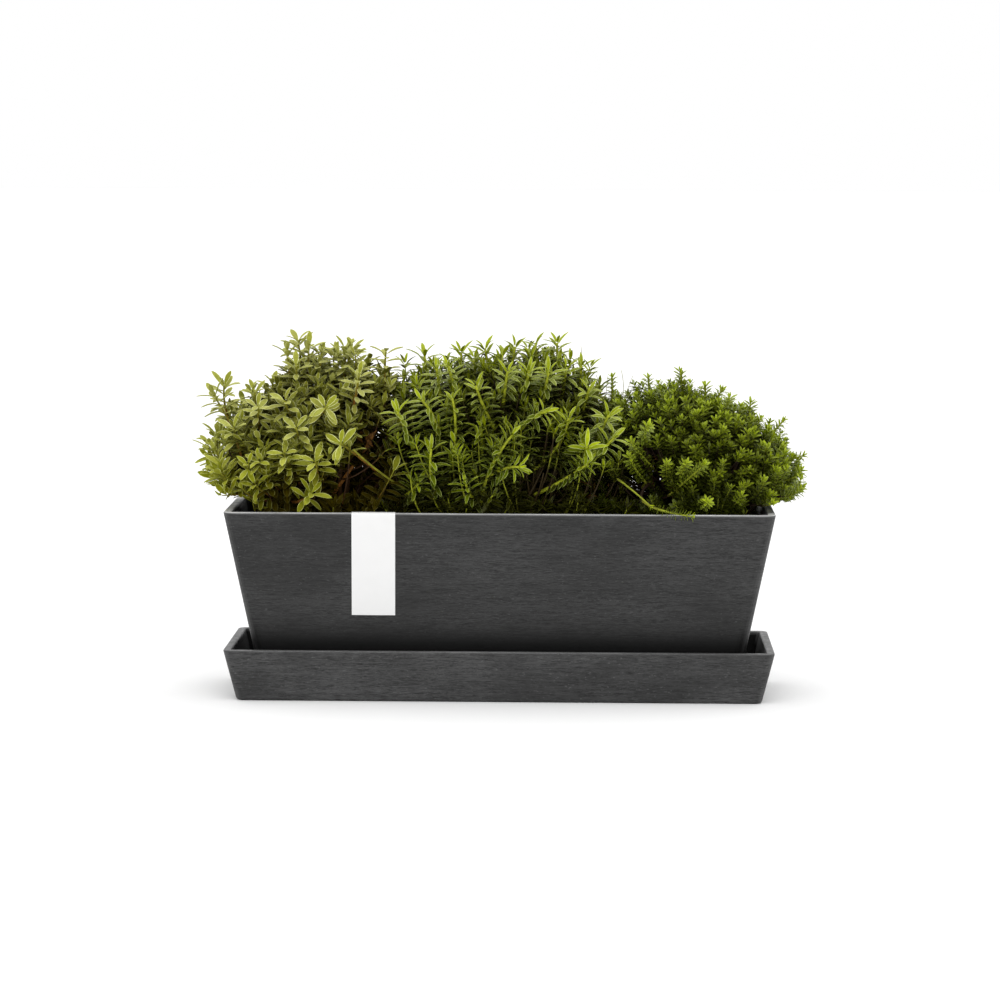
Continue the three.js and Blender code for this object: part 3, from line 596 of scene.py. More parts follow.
RIGHT_FORM = dict(
    node="shrub_right", slot="fine_foliage", seed=37, crown=170, middle=(204, 0, 244), roundness=2.3,
    outline=[
        (92, 192), (98, 314), (124, 316), (149, 319), (181, 327), (206, 312), (224, 308), (256, 295),
        (268, 279), (287, 276), (292, 257), (306, 242), (310, 196),
    ],
    leads=[
        (131, 319), (140, 318), (158, 320), (168, 321), (190, 321), (200, 314), (214, 306), (233, 305),
        (243, 297), (264, 284), (273, 281), (291, 262), (298, 246), (307, 231), (302, 216), (290, 198),
        (282, 194),
    ],
    front=[
        (112, -4, 292, 112, -12, 308, 112, -18, 322, 0.1),
        (150, -4, 294, 149, -12, 308, 148, -18, 321, 0.1), (184, 0, 298, 183, -8, 314, 180, -14, 328, 0.1),
        (207, 0, 288, 206, -8, 301, 206, -14, 313, 0.1), (212, 0, 288, 217, -8, 300, 223, -12, 309, 0.1),
        (250, 0, 272, 250, -8, 285, 252, -12, 296, 0.1), (268, 0, 258, 276, -8, 268, 286, -14, 279, 0.1),
        (284, 0, 236, 296, -6, 239, 306, -12, 243, 0.1), (280, -8, 202, 295, -14, 205, 305, -20, 211, 0.1),
        (276, -20, 214, 290, -24, 217, 302, -28, 223, 0.1),
        (264, -26, 196, 280, -30, 196, 293, -36, 199, 0.2),
        (252, -36, 194, 266, -42, 194, 279, -48, 196, 0.2),
        (268, -20, 226, 279, -26, 229, 287, -30, 234, 0.2),
        (262, -28, 212, 273, -34, 215, 281, -40, 221, 0.3),
        (258, -34, 202, 268, -42, 203, 275, -48, 207, 0.4),
        (270, -26, 204, 280, -32, 206, 287, -38, 210, 0.3),
        (256, -34, 206, 260, -44, 212, 262, -54, 219, 0.4),
        (244, -46, 202, 247, -56, 207, 249, -66, 213, 0.4),
        (240, -46, 212, 242, -56, 218, 243, -64, 225, 0.4),
        (218, -52, 214, 221, -62, 219, 222, -72, 225, 0.4),
        (262, -30, 220, 266, -38, 224, 268, -46, 230, 0.3),
        (172, -60, 203, 188, -76, 217, 206, -86, 233, 0.1),
        (180, -60, 216, 182, -72, 226, 188, -80, 234, 0.2),
        (143, -60, 256, 145, -70, 264, 149, -78, 272, 0.2),
        (153, -52, 230, 139, -66, 245, 131, -78, 256, 0.2),
        (147, -52, 214, 134, -66, 228, 130, -78, 241, 0.2),
        (170, -60, 214, 166, -70, 224, 168, -78, 234, 0.2),
        (200, -60, 192, 206, -72, 193, 210, -80, 195, 0.5),
        (152, -84, 190, 168, -91, 183, 194, -91.5, 180, 0.2, 0.9),
        (112, -60, 222, 130, -74, 210, 152, -84, 190, 0.0, 0.06),
    ],
    trunks=[
        (160, -30, 196, 152, -38, 214, 148, -42, 238, 3.2, 1.0),
        (176, -26, 196, 166, -34, 216, 170, -40, 240, 2.8, 1.0),
        (101, 0, 288, 101, 0, 306, 96, 0, 323, 0.7, -1.0),
        (103, 5, 288, 107, 5, 308, 107, 5, 322, 0.6, -1.0), (99, 4, 290, 94, 4, 308, 89, 4, 318, 0.6, -1.0),
        (122, 0, 296, 125, 0, 313, 121, 0, 328, 0.7, -1.0),
        (124, 3, 296, 128, 3, 312, 133, 3, 323, 0.6, -1.0),
        (126, 6, 295, 131, 6, 309, 139, 6, 315, 0.6, -1.0),
    ],
    hollows=[(237, 229, 11, 8), (128, 208, 26, 15), (152, 240, 14, 12), (116, 248, 8, 18)],
    dead=[(154, -44, 236, 9)],
    blade=[(0.14, 0.75, 0.0), (0.5, 1.0, 0.0), (0.82, 0.66, -0.06)],
    whorl=3, ring=3, lifts=(68, 50, 40, 30, 18), sizes=(0.6, 0.9, 1.0, 1.0, 0.9), bark=(0.25, 0.8),
    low_tint=(1.0, 1.0, 1.0),
)
SHRUBS = {"left": LEFT_FORM, "middle": MIDDLE_FORM, "right": RIGHT_FORM}

# Half a canopy's depth, and how far out along the trough hollows open right through it
HALF_CANOPY = 84 * MM
END_HOLLOWS_FROM = 268 * MM

# The inner leaves' blade, how far across a leaf's tip counts for its pale edge, and the tones of
# dead leaves
INNER_BLADE = [(0.5, 1.0, 0.0)]
TIP_ACROSS = 0.7
DEAD_TONES = {"age": 2.0, "shade": 0.0, "bloom": 0.0}

# The rings and sides of the stems: boughs and trunks are coarse, twigs and shoots are fine
COARSE_RINGS = 12
COARSE_SIDES = 9
TWIG_RINGS = 5
SHOOT_RINGS = 9
FINE_SIDES = 5


# Where foliage may be


def bearing(turn, height):
    """Unit vectors by their turn round the upright and their height."""
    flat = np.sqrt(1 - height**2)
    return np.stack([flat * np.cos(turn), flat * np.sin(turn), height], axis=-1)


def beyond_trough(x, y, z):
    """How far points lie outside the planter's sloping outer faces, in plan; inside is negative."""
    lean = (RIM - z) * LEAN
    return np.maximum(np.abs(x) - (HALF_LENGTH - lean), np.abs(y) - (HALF_DEPTH - lean))


def lowest_outside(x):
    """The lowest that foliage hangs outside the walls: the rim, and higher towards and past the
    ends, whose corners stay clear."""
    near_end = np.clip((np.abs(x) - HALF_LENGTH + 40 * MM) / (18 * MM), 0, 1)
    over_end = np.maximum(np.abs(x) - HALF_LENGTH, 0)
    return RIM + np.where(x < 0, 10 * MM * near_end + 0.6 * over_end, 3 * MM * near_end + 0.34 * over_end)


def canopy_roof(x, y, plan):
    """The height of a shrub's canopy: the outline's along the trough, falling as a superellipse
    towards the front and the back."""
    line = np.array(plan["outline"]) * MM
    roof = np.interp(x, line[:, 0], line[:, 1], left=0, right=0)
    share = np.clip(np.abs(y) / HALF_CANOPY, 0, 1)
    power = plan["roundness"]
    return RIM + (roof - RIM) * (1 - share**power) ** (1 / power)


def in_canopy(spots, plan):
    """Which points lie under a shrub's roof, and above the rim or the soil."""
    x, y, z = np.moveaxis(spots, -1, 0)
    past_rim = beyond_trough(x, y, np.full_like(z, RIM)) > -14 * MM
    base = np.where(past_rim, lowest_outside(x) + 5 * MM, SOIL_TOP + 8 * MM)
    return (z < canopy_roof(x, y, plan)) & (z > base)


def depth_inside(spots, plan):
    """How deep points lie in a canopy: the least of their distances to its roof, to its front or
    back, and to its edge at the trough's end if the shrub stands there."""
    x, y, z = np.moveaxis(spots, -1, 0)
    depth = np.minimum(canopy_roof(x, y, plan) - z, HALF_CANOPY - np.abs(y))
    side = int(np.sign(plan["crown"]))
    if side:
        inwards = np.linspace(plan["outline"][0][0], plan["outline"][-1][0], 200)[::-side] * MM
        roof = canopy_roof(inwards, 0 * inwards, plan)
        levels = np.linspace(RIM, roof.max(), 60)
        edge = inwards[np.argmax(roof >= levels[:, None] - 1e-6, axis=1)]
        depth = np.minimum(depth, side * (np.interp(z, levels, edge) - x))
    return depth


def canopy_reach(along, plan):
    """How far the canopy reaches from its middle along unit vectors, found in small steps."""
    steps = np.linspace(8, 220, 160) * MM
    spots = np.array(plan["middle"]) * MM + along[:, None] * steps[:, None]
    inside = np.logical_and.accumulate(in_canopy(spots, plan), axis=1).sum(axis=1)
    return steps[np.maximum(inside - 1, 0)]


def clear_of_trough(leaves):
    """Which leaves keep clear of the walls, the soil, the label's way up and the end corners,
    hang no lower outside than they may, and stay near the CAD's box."""
    x, y, z = np.moveaxis(leaves, -1, 0)
    outside = beyond_trough(x, y, z)
    room = 0.8 * MM
    in_wall = (outside < room) & (outside > -WALL_ACROSS - room) & (z < RIM + room)
    low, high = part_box("label_card")
    near_label = (x > low.x - 3 * MM) & (x < high.x + 3 * MM) & (z > RIM - 60 * MM)
    label_way = near_label & (y < -(HALF_DEPTH - WALL_ACROSS - 2.5 * MM) - (z - RIM) * LEAN)
    buried = (z < SOIL_TOP + 3 * MM) & (outside < 0)
    hanging = (outside > 0) & (z < lowest_outside(x)) & ((y > -HALF_DEPTH + 2 * MM) | (z < RIM - 13 * MM))
    low, high = np.array(CAD_BOX)
    spare = np.array((6, 9, 9)) * MM
    escaped = ((leaves < low - spare) | (leaves > high + spare)).any(axis=2)
    in_corner = (np.abs(x) > HALF_LENGTH - 28 * MM) & (z < RIM + 8 * MM) & ((x < 0) | (y < -20 * MM))
    return ~(in_wall | label_way | buried | hanging | escaped | in_corner).any(axis=1)


def seen_at(spots, depth):
    """Moves points (x, z) of the plane of the trough's middle to another depth along the camera's
    lines of sight."""
    eye = np.array(CAMERA_PLACE)
    on_plane = np.stack([spots[:, 0], np.zeros(len(spots)), spots[:, 1]], axis=1)
    return on_plane + (eye - on_plane) * (depth / eye[1])[:, None]


def seen_curves(rows):
    """The start, knee and tip of each front shoot or trunk of a plan, in metres."""
    points = np.array([row[:9] for row in rows]).reshape(-1, 3, 3) * MM
    return [seen_at(points[:, part, ::2], points[:, part, 1]) for part in range(3)]


def in_hollow(spots, plan):
    """How far the camera sees points in a hollow, from none to one at its middle."""
    eye = np.array(CAMERA_PLACE)
    seen = eye + (spots - eye) * (eye[1] / (eye[1] - spots[..., 1]))[..., None]
    most = np.zeros(spots.shape[:-1])
    for along, up, half_width, half_height in plan["hollows"]:
        away = np.hypot((seen[..., 0] / MM - along) / half_width, (seen[..., 2] / MM - up) / half_height)
        most = np.maximum(most, np.clip(1 - away, 0, 1))
    return most


def hollow_side(spots, depth):
    """Which points lie where hollows open: in front of a depth, or at the trough's ends."""
    return (spots[..., 1] < depth) | (np.abs(spots[..., 0]) > END_HOLLOWS_FROM)


# Shoots


def curve_points(start, knee, end, shares):
    """Points and unit tangents of quadratic curves (n, 3) at shares of the way (k) or (n, k)."""
    done = np.broadcast_to(shares, (len(start), shares.shape[-1]))[..., None]
    left = 1 - done
    start, knee, end = start[:, None], knee[:, None], end[:, None]
    place = left**2 * start + 2 * done * left * knee + done**2 * end
    return place, unit(2 * left * (knee - start) + 2 * done * (end - knee))


def spread_tips(plan, count, lowest, shares, dice):
    """Points spread over the canopy by the golden angle, at shares of its reach."""
    order = np.arange(count)
    height = lowest + (0.985 - lowest) * (order + 0.5) / count
    along = bearing(order * GOLDEN_TURN + dice.normal(0, 0.1, count), np.clip(height, -0.98, 0.98))
    reach = canopy_reach(along, plan) * dice.uniform(*shares, count)
    return np.array(plan["middle"]) * MM + along * reach[:, None]


def roof_tips(plan, spacing, dice):
    """Points just under the canopy's roof, on a loosened grid."""
    half = HALF_CANOPY * 0.85
    across = np.arange(plan["outline"][1][0] * MM + spacing, plan["outline"][-2][0] * MM, spacing)
    x, y = np.meshgrid(across, np.arange(-half, half, spacing))
    x = x.ravel() + dice.uniform(-0.45, 0.45, x.size) * spacing
    y = y.ravel() + dice.uniform(-0.45, 0.45, y.size) * spacing
    z = canopy_roof(x, y, plan) - dice.uniform(8, 27, x.size) * MM
    return np.stack([x, y, z], axis=1)[z > RIM + 45 * MM]


def shoot_tips(plan, look, dice):
    """Where the shoots' leaves end: the leads, the others spread over the canopy, and the inner
    ones, which fill it. Returns them and how many are outer ones."""
    leads = seen_at(np.array(plan["leads"]) * MM, dice.uniform(-0.035, 0.025, len(plan["leads"])))
    outer = spread_tips(plan, look.outer_shoots, lowest=-0.72, shares=(0.86, 0.97), dice=dice)
    tips = np.concatenate([leads, outer, roof_tips(plan, look.top_spacing, dice)])
    tips = tips[~((in_hollow(tips, plan) > 0) & hollow_side(tips, 0.0))]
    tips[:, 2] = np.maximum(tips[:, 2], lowest_outside(tips[:, 0]) + dice.uniform(6, 16, len(tips)) * MM)
    ends = np.array(plan["outline"]) * MM
    low = (ends[0, 0], -HALF_CANOPY, 180 * MM)
    high = (ends[-1, 0], HALF_CANOPY, ends[:, 1].max())
    inner = dice.uniform(low, high, (look.inner_shoots * 8, 3))
    inside = in_canopy(inner, plan) & (depth_inside(inner, plan) > 12 * MM)
    inside &= ~((in_hollow(inner, plan) > 0) & (inner[:, 1] < 15 * MM))
    return np.concatenate([tips, inner[inside][:look.inner_shoots]]), len(tips)


def shape_shoots(plan, look, ends, reach, dice):
    """The shoots' leafy parts as quadratic curves: their starts, knees, tips and lengths. They
    start outwards, end upwards, short of their ends by the top leaves' reach, and stay over the
    rim where they pass the walls. The plan's front shoots come first."""
    outward = unit((ends - np.array(plan["middle"]) * MM) * (1.0, 1.0, 0.5))
    end_aim, start_aim = (
        unit(outward * (most - look.upright) + SKY * look.upright * rise + dice.normal(0, 0.1, ends.shape))
        for most, rise in ((1, 1), (1.2, 0.5)))
    length = look.leafy_length * dice.uniform(0.8, 1.15, len(ends))[:, None]
    tips = ends - end_aim * reach
    tips[:, 2] = np.maximum(tips[:, 2], RIM + 4 * MM)
    knee = tips - end_aim * length * 0.5
    start = knee - start_aim * length * 0.5
    wall_room = 16 * MM
    near_wall = beyond_trough(*tips.T) > -wall_room
    lowest = np.where(near_wall, lowest_outside(tips[:, 0]) + 4 * MM, SOIL_TOP + 7 * MM)
    for point in (knee, start):
        point[:, 2] = np.maximum(point[:, 2], lowest)
        point[:, 1] = np.clip(point[:, 1], -HALF_DEPTH + wall_room, HALF_DEPTH - wall_room)
    curves = [np.concatenate(pair) for pair in zip(seen_curves(plan["front"]), (start, knee, tips))]
    return *curves, sum(np.linalg.norm(curves[part + 1] - curves[part], axis=1) for part in (0, 1))


# Leaves


def blade_template(blade, ring):
    """One leaf in its own measures: a ring of points at each station, with its edges and its
    middle below, and above where a ring has four, then its base and its tip. Returns the points
    as (across, along, bend, thickness) shares, the faces, and which points are edges."""
    thickness = 0.16
    points = []
    for station, width, bend in blade:
        across_and_thick = [(-width, 0.0), (0.0, -thickness), (width, 0.0), (0.0, thickness * 0.3)]
        points += [(across, station, bend, thick) for across, thick in across_and_thick[:ring]]
    points += [(0.0, 0.0, 0.0, 0.0), (0.0, 1.0, blade[-1][2] * 1.3, 0.0)]
    edge = np.append(np.tile(np.arange(ring) % 2 == 0, len(blade)), [True, True])
    return (np.array(points), *ring_faces(len(blade), ring), edge)


def lay_leaves(places, aims, faces_up, lengths, widths, template, fold):
    """Copies of the template at places: along an aim by a length, across by a half width, and
    along the upward normal by the bend, the thickness and the fold of the edges."""
    normal = square_to(aims, faces_up)
    across = np.cross(aims, normal)
    side, station, bend, thick = template[0].T[:, :, None]
    lengths, widths = lengths[:, None, None], widths[:, None, None]
    lift = bend * lengths + (thick + fold * np.abs(side)) * widths
    flat = places[:, None] + station * lengths * aims[:, None] + side * widths * across[:, None]
    return flat + lift * normal[:, None]


def whorl_steps(plan, look):
    """How far back from the tip each whorl of a shoot is, and its leaves' lift and size."""
    step = np.arange(int(look.leafy_length * 1.3 / look.leaf_spacing) + 2)
    gaps = look.leaf_spacing * np.minimum(1, 0.3 + 0.28 * step)
    knots = (0, 1, 2, 4, len(step))
    lift = np.radians(np.interp(step, knots, plan["lifts"]))
    return np.cumsum(gaps) - gaps[0] * 0.8, lift, np.interp(step, knots, plan["sizes"])


def aim_leaves(plan, look, place, heading, lift, grown, dice):
    """The leaves of the shoots (n, whorls, leaves), each whorl turned from the last: where they
    leave the stem, their aims, which way they face, and their sizes."""
    fronts, leads, whorl = len(plan["front"]), len(plan["leads"]), plan["whorl"]
    count, steps = place.shape[:2]
    shape = (count, steps, whorl)
    across = square_to(heading, np.cross(heading[:, 0], dice.normal(0, 1, (count, 3)))[:, None])
    turn = np.arange(steps)[:, None] * (np.pi / whorl) + dice.uniform(0, np.pi, (count, 1, 1))
    turn = turn + np.arange(whorl) * 2 * np.pi / whorl + dice.normal(0, 0.15, shape)
    out = swung(across[:, :, None], np.cross(heading, across)[:, :, None], turn)
    opening = np.zeros((count, 1, 1))
    opening[:fronts, 0, 0] = [row[9] for row in plan["front"]]
    opening[fronts:fronts + leads] = 0.25
    lift = lift[:, None] * (1 - 0.7 * opening) + dice.normal(0, 0.11, shape)
    ahead = heading[:, :, None]
    facing = unit(swung(ahead, -out, lift) + 0.25 * SKY)
    size = grown[:, None] ** (1 - 0.6 * opening) * dice.uniform(0.84, 1.1, shape)
    size = size * dice.uniform(0.82, 1.12, (count, 1, 1))
    return place[:, :, None] + out * look.stem_width * 0.3, unit(swung(out, ahead, lift)), facing, size


def tone_leaves(plan, look, root, facing, dice):
    """How far each leaf is in shade and in bloom, and whether it lies in an open hollow. Shade
    grows with depth, near the rim and in hollows, less so past the ends and on front shoots."""
    fronts = len(plan["front"])
    x, y, z = np.moveaxis(root, -1, 0)
    rise = (z - SOIL_TOP) / (canopy_roof(x, 0 * x, plan) - SOIL_TOP)
    shade = (depth_inside(root, plan) - 4 * MM) / look.dark_depth * (1.25 - 0.95 * np.clip(rise, 0, 1))
    hollow = in_hollow(root, plan)
    hollow[:fronts] = 0
    near_rim = 0.8 * np.clip(1 - (z - RIM) / (60 * MM), 0, 1) * (np.abs(x) < 235 * MM)
    shade = np.clip(shade + 2 * hollow, 0, 1) + near_rim + dice.normal(0, 0.1, (len(root), 1, 1))
    shade = shade * (1 - 0.7 * np.clip((np.abs(x) - 250 * MM) / (30 * MM), 0, 1))
    shade[:fronts] -= 0.12 + near_rim[:fronts]
    shade = np.clip(shade, 0, 1)
    # Painted top light: strongest on leaves that face up and lie out of the shade
    bloom = (np.clip(facing[..., 2], 0, 1) * (1 - shade)) ** 1.8 * dice.uniform(0.6, 1.0, shade.shape)
    return shade, bloom, (hollow > 0.2) & hollow_side(root, -8 * MM)


def dead_leaves(plan, look, template, dice):
    """Dry leaves caught in the shrub, scattered, curled and turned any way."""
    spots = np.array(plan["dead"], dtype=float)
    places = np.repeat(seen_at(spots[:, [0, 2]] * MM, spots[:, 1] * MM), spots[:, 3].astype(int), axis=0)
    shape = places.shape
    places = places + dice.normal(0, (7 * MM, 5 * MM, 5 * MM), shape)
    aims = unit(dice.normal(0, 1, shape))
    lengths = look.leaf_length * dice.uniform(0.6, 1.0, len(places))
    widths = lengths * look.leaf_width / look.leaf_length / 2
    leaves = lay_leaves(places, aims, unit(dice.normal(0, 1, shape)), lengths, widths, template, 0.8)
    return leaves[clear_of_trough(leaves)]


def put_leaves(name, leaves, values, template, finish):
    """Pieces of leaves, as many as keep each under the number of triangles a piece may have."""
    points, quads, fans, edge = template
    across = np.sign(points[:, 0])
    shares = ((across + 1) / 2, points[:, 1])
    across[-1] = TIP_ACROSS
    parts = -(-len(leaves) * (len(quads) * 2 + len(fans)) // PIECE_TRIANGLES)
    made = []
    for number in range(parts):
        chosen = leaves[number::parts]
        copies, each = chosen.shape[:2]
        spread = {key: np.repeat(numbers[number::parts], each) for key, numbers in values.items()}
        spread["across"] = np.tile(across, copies)
        faces = [repeat_faces(part, copies, each) for part in (quads, fans)]
        made.append(put_mesh(
            f"{name}_leaves_{number + 1}", chosen.reshape(-1, 3), faces, finish,
            values=spread, sharp=np.tile(edge, copies), atlas=atlas_cells(copies, *shares)))
    return made


def grow_shrub(which, look):
    """One shrub: its shoots with whorls of leaves, small and upright at the tip and spreading
    lower down, and the stems that carry them."""
    plan = SHRUBS[which]
    dice = np.random.default_rng(plan["seed"])
    ends, outer = shoot_tips(plan, look, dice)
    back, lift, grown = whorl_steps(plan, look)
    reach = (grown * look.leaf_length * np.sin(lift) - back).max()
    start, knee, tips, length = shape_shoots(plan, look, ends, reach, dice)
    share = 1 - back / length[:, None]
    place, heading = curve_points(start, knee, tips, np.clip(share, 0, 1))
    root, aim, facing, size = aim_leaves(plan, look, place, heading, lift, grown, dice)
    shade, bloom, opened = tone_leaves(plan, look, root, facing, dice)
    bare = np.zeros((len(tips), 1))
    bare[:len(plan["front"]), 0] = [1 - row[10] if len(row) > 10 else 0 for row in plan["front"]]
    kept = (share > bare)[:, :, None] & (dice.uniform(0, 1, size.shape) > 0.03) & ~opened
    age = np.broadcast_to((back / look.leafy_length)[:, None], size.shape)
    tones = {"age": age, "shade": shade, "bloom": bloom}

    finish = leaf_finish(f"{plan['slot']}_finish", look, plan["low_tint"])
    made = [grow_stems(plan, look, start, knee, tips, dice)]
    outer += len(plan["front"])
    for part, chosen, template in (
        ("outer", slice(0, outer), blade_template(plan["blade"], plan["ring"])),
        ("inner", slice(outer, None), blade_template(INNER_BLADE, 3)),
    ):
        scale = size[chosen].ravel()
        leaves = lay_leaves(
            *(each[chosen].reshape(-1, 3) for each in (root, aim, facing)),
            scale * look.leaf_length, scale**0.8 * look.leaf_width / 2, template, look.fold)
        pick = kept[chosen].ravel() & clear_of_trough(leaves)
        leaves = leaves[pick]
        values = {key: each[chosen].ravel()[pick] for key, each in tones.items()}
        if part == "inner":
            fallen = dead_leaves(plan, look, template, dice)
            leaves = np.concatenate([leaves, fallen])
            for key in values:
                values[key] = np.append(values[key], np.full(len(fallen), DEAD_TONES[key]))
        values["tint"] = dice.uniform(0, 1, len(leaves))
        made += put_leaves(f"{plan['node']}_{part}", leaves, values, template, finish)
    for piece in made:
        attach(piece, "planter")
        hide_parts(plan["node"])


# Stems


def bough_paths(plan, look, dice):
    """Boughs that lean out from the crown and rise."""
    order = np.arange(look.boughs)
    turn = order * GOLDEN_TURN + 0.6
    along = bearing(turn, -0.25 + 1.1 * (order + 0.5) / look.boughs)
    reach = along * canopy_reach(along, plan)[:, None]
    ends = np.array(plan["middle"]) * MM + reach * dice.uniform(0.5, 0.68, (look.boughs, 1))
    crown = np.array((plan["crown"] * MM, 0.0, SOIL_TOP + 2 * MM))
    feet = crown + 9 * MM * bearing(turn, np.zeros(look.boughs))
    bends = feet + (ends - feet) * (0.62, 0.62, 0.3)
    bends[:, 2] = np.maximum(bends[:, 2], SOIL_TOP + 10 * MM)
    return curve_points(feet, bends, ends, np.linspace(0, 1, COARSE_RINGS))[0]


def twig_paths(start, knee, boughs):
    """A twig to each shoot's start from a fork on a bough, near it and behind it."""
    forks = boughs[:, 3:].reshape(-1, 3)
    first = unit(knee - start)
    gap = start[:, None] - forks[None]
    far = np.linalg.norm(gap, axis=2)
    match = (gap * first[:, None]).sum(axis=2) / np.maximum(far, 1e-6)
    fork = forks[np.argmin((far + 6 * MM) * (1.7 - match), axis=1)]
    bend = start - first * np.linalg.norm(start - fork, axis=1)[:, None] * 0.5
    at_wall = beyond_trough(*start.T) > -22 * MM
    bend[:, 2] = np.maximum(bend[:, 2], np.where(at_wall, start[:, 2] - 4 * MM, SOIL_TOP + 6 * MM))
    return curve_points(fork, bend, start, np.linspace(0, 1, TWIG_RINGS + 1)[:-1])[0]


def along_stem(fork, twig_end, start, tip):
    """Values for the rings of a twig, from its fork to its end, and those of its shoot, from its
    start to its tip."""
    return np.concatenate([np.linspace(fork, twig_end, TWIG_RINGS), np.linspace(start, tip, SHOOT_RINGS)])


def grow_stems(plan, look, start, knee, tips, dice):
    """A shrub's boughs and trunks, and each shoot's twig and stem, thinner and younger to its
    tip. The front shoots' stems are lit."""
    boughs = bough_paths(plan, look, dice)
    trunks = curve_points(*seen_curves(plan["trunks"]), np.linspace(0, 1, COARSE_RINGS))[0]
    widths, trunk_ages = np.array([row[9:] for row in plan["trunks"]]).T
    shoots = curve_points(start, knee, tips, np.linspace(0, 0.985, SHOOT_RINGS))[0]
    fronts, half = len(plan["front"]), look.stem_width / 2
    radius = half * np.where(np.arange(len(tips)) < fronts, 1.2, 0.62)
    fine_radii = radius[:, None] * along_stem(1.25, 1.1, 1.05, 0.55)
    fine_paths = np.concatenate([twig_paths(start, knee, boughs), shoots], axis=1)
    fine, fine_faces = tubes(fine_paths, fine_radii, FINE_SIDES)
    coarse_radii = np.concatenate([
        np.tile(np.linspace(2.6, 1.3, COARSE_RINGS) * half, (look.boughs, 1)),
        widths[:, None] * MM / 2 * np.linspace(1.15, 0.85, COARSE_RINGS)])
    coarse, coarse_faces = tubes(np.concatenate([boughs, trunks]), coarse_radii, COARSE_SIDES)
    points = np.concatenate([fine, coarse])
    faces = fine_faces + [part + len(fine) for part in coarse_faces]

    ring_age = along_stem(0.85, 0.5, 0.45, 0.0)
    fine_age = np.append(np.repeat(ring_age, FINE_SIDES), ring_age[[0, -1]])
    trunk_points = len(coarse) // len(coarse_radii)
    bough_age = np.ones(look.boughs * trunk_points)
    age = np.concatenate([np.tile(fine_age, len(tips)), bough_age, np.repeat(trunk_ages, trunk_points)])
    shade = depth_inside(points, plan) / look.dark_depth - 0.4 + 2 * in_hollow(points, plan)
    shade[:len(fine)].reshape(len(tips), -1)[:fronts, fine_age < 0.5] = 0
    shade[len(fine):] = 1
    shade[-len(trunks) * trunk_points:] = 0.1
    bark = bark_finish(f"{plan['node']}_bark", look.green_stem, look.woody_stem, *plan["bark"])
    values = {"age": age, "shade": np.clip(shade, 0, 1)}
    return put_mesh(f"{plan['node']}_stems", points, faces, bark, values=values)


# Settings that a user would change

KINDS = {
    "length": (FloatProperty, {"unit": "LENGTH", "min": 0}),
    "share": (FloatProperty, {"subtype": "FACTOR", "min": 0, "max": 1}),
    "strength": (FloatProperty, {"min": 0}),
    "count": (IntProperty, {"min": 0, "max": 2000}),
    "colour": (FloatVectorProperty, {"subtype": "COLOR", "min": 0, "max": 1}),
}


def settings(title, about, rows):
    """A PropertyGroup class with a setting for each row of a kind, a description and a default,
    in millimetres for a length. The setting's name is its key's."""
    fields = {}
    for key, (kind, text, value) in rows.items():
        make, options = KINDS[kind]
        default = value * MM if kind == "length" else value
        fields[key] = make(
            name=key.replace("_", " ").capitalize(), description=text, default=default, **options)
    return type(title, (bpy.types.PropertyGroup,), {"__annotations__": fields, "__doc__": about})


MouldingLook = settings("MouldingLook", "The planter's and the saucer's plastic", {
    "colour": ("colour", "Base colour of the moulded plastic", (0.027, 0.027, 0.027)),
    "roughness": ("share", "How matt the plastic is", 0.45),
    # Painted light: the saucer is the same plastic, painted paler where more light falls on its front
    "saucer_tone": ("strength", "How much paler the saucer is", 1.42),
    # Strength of the painted highlights on the rims and of the painted light on the right end
    "wear": ("share", "How pale the planter's rim is", 0.8),
    "streak_length": ("length", "Length of the brushed streaks", 7.5),
    "streak_width": ("length", "Width of the brushed streaks", 0.7),
    "streak_depth": ("length", "Depth of the brushed streaks", 0.12),
})

LabelLook = settings("LabelLook", "The folded card", {
    "colour": ("colour", "Colour of the blank card", (0.79, 0.79, 0.786)),
    "thickness": ("length", "Thickness of the card", 0.35),
    "slant": ("length", "How far the lower end leans to the left", 0.9),
    "curl": ("length", "How far the lower end stands off the wall", 0.7),
})

SoilLook = settings("SoilLook", "The potting soil", {
    "dark": ("colour", "Colour of the moist soil", (0.011, 0.007, 0.004)),
    "middle": ("colour", "Colour of the drier soil", (0.035, 0.022, 0.012)),
    "light": ("colour", "Colour of bark and fibre crumbs", (0.12, 0.075, 0.04)),
    "unevenness": ("length", "Height of the lumps", 1.3),
    "crown": ("length", "How far the soil stands over its level", 4.0),
})

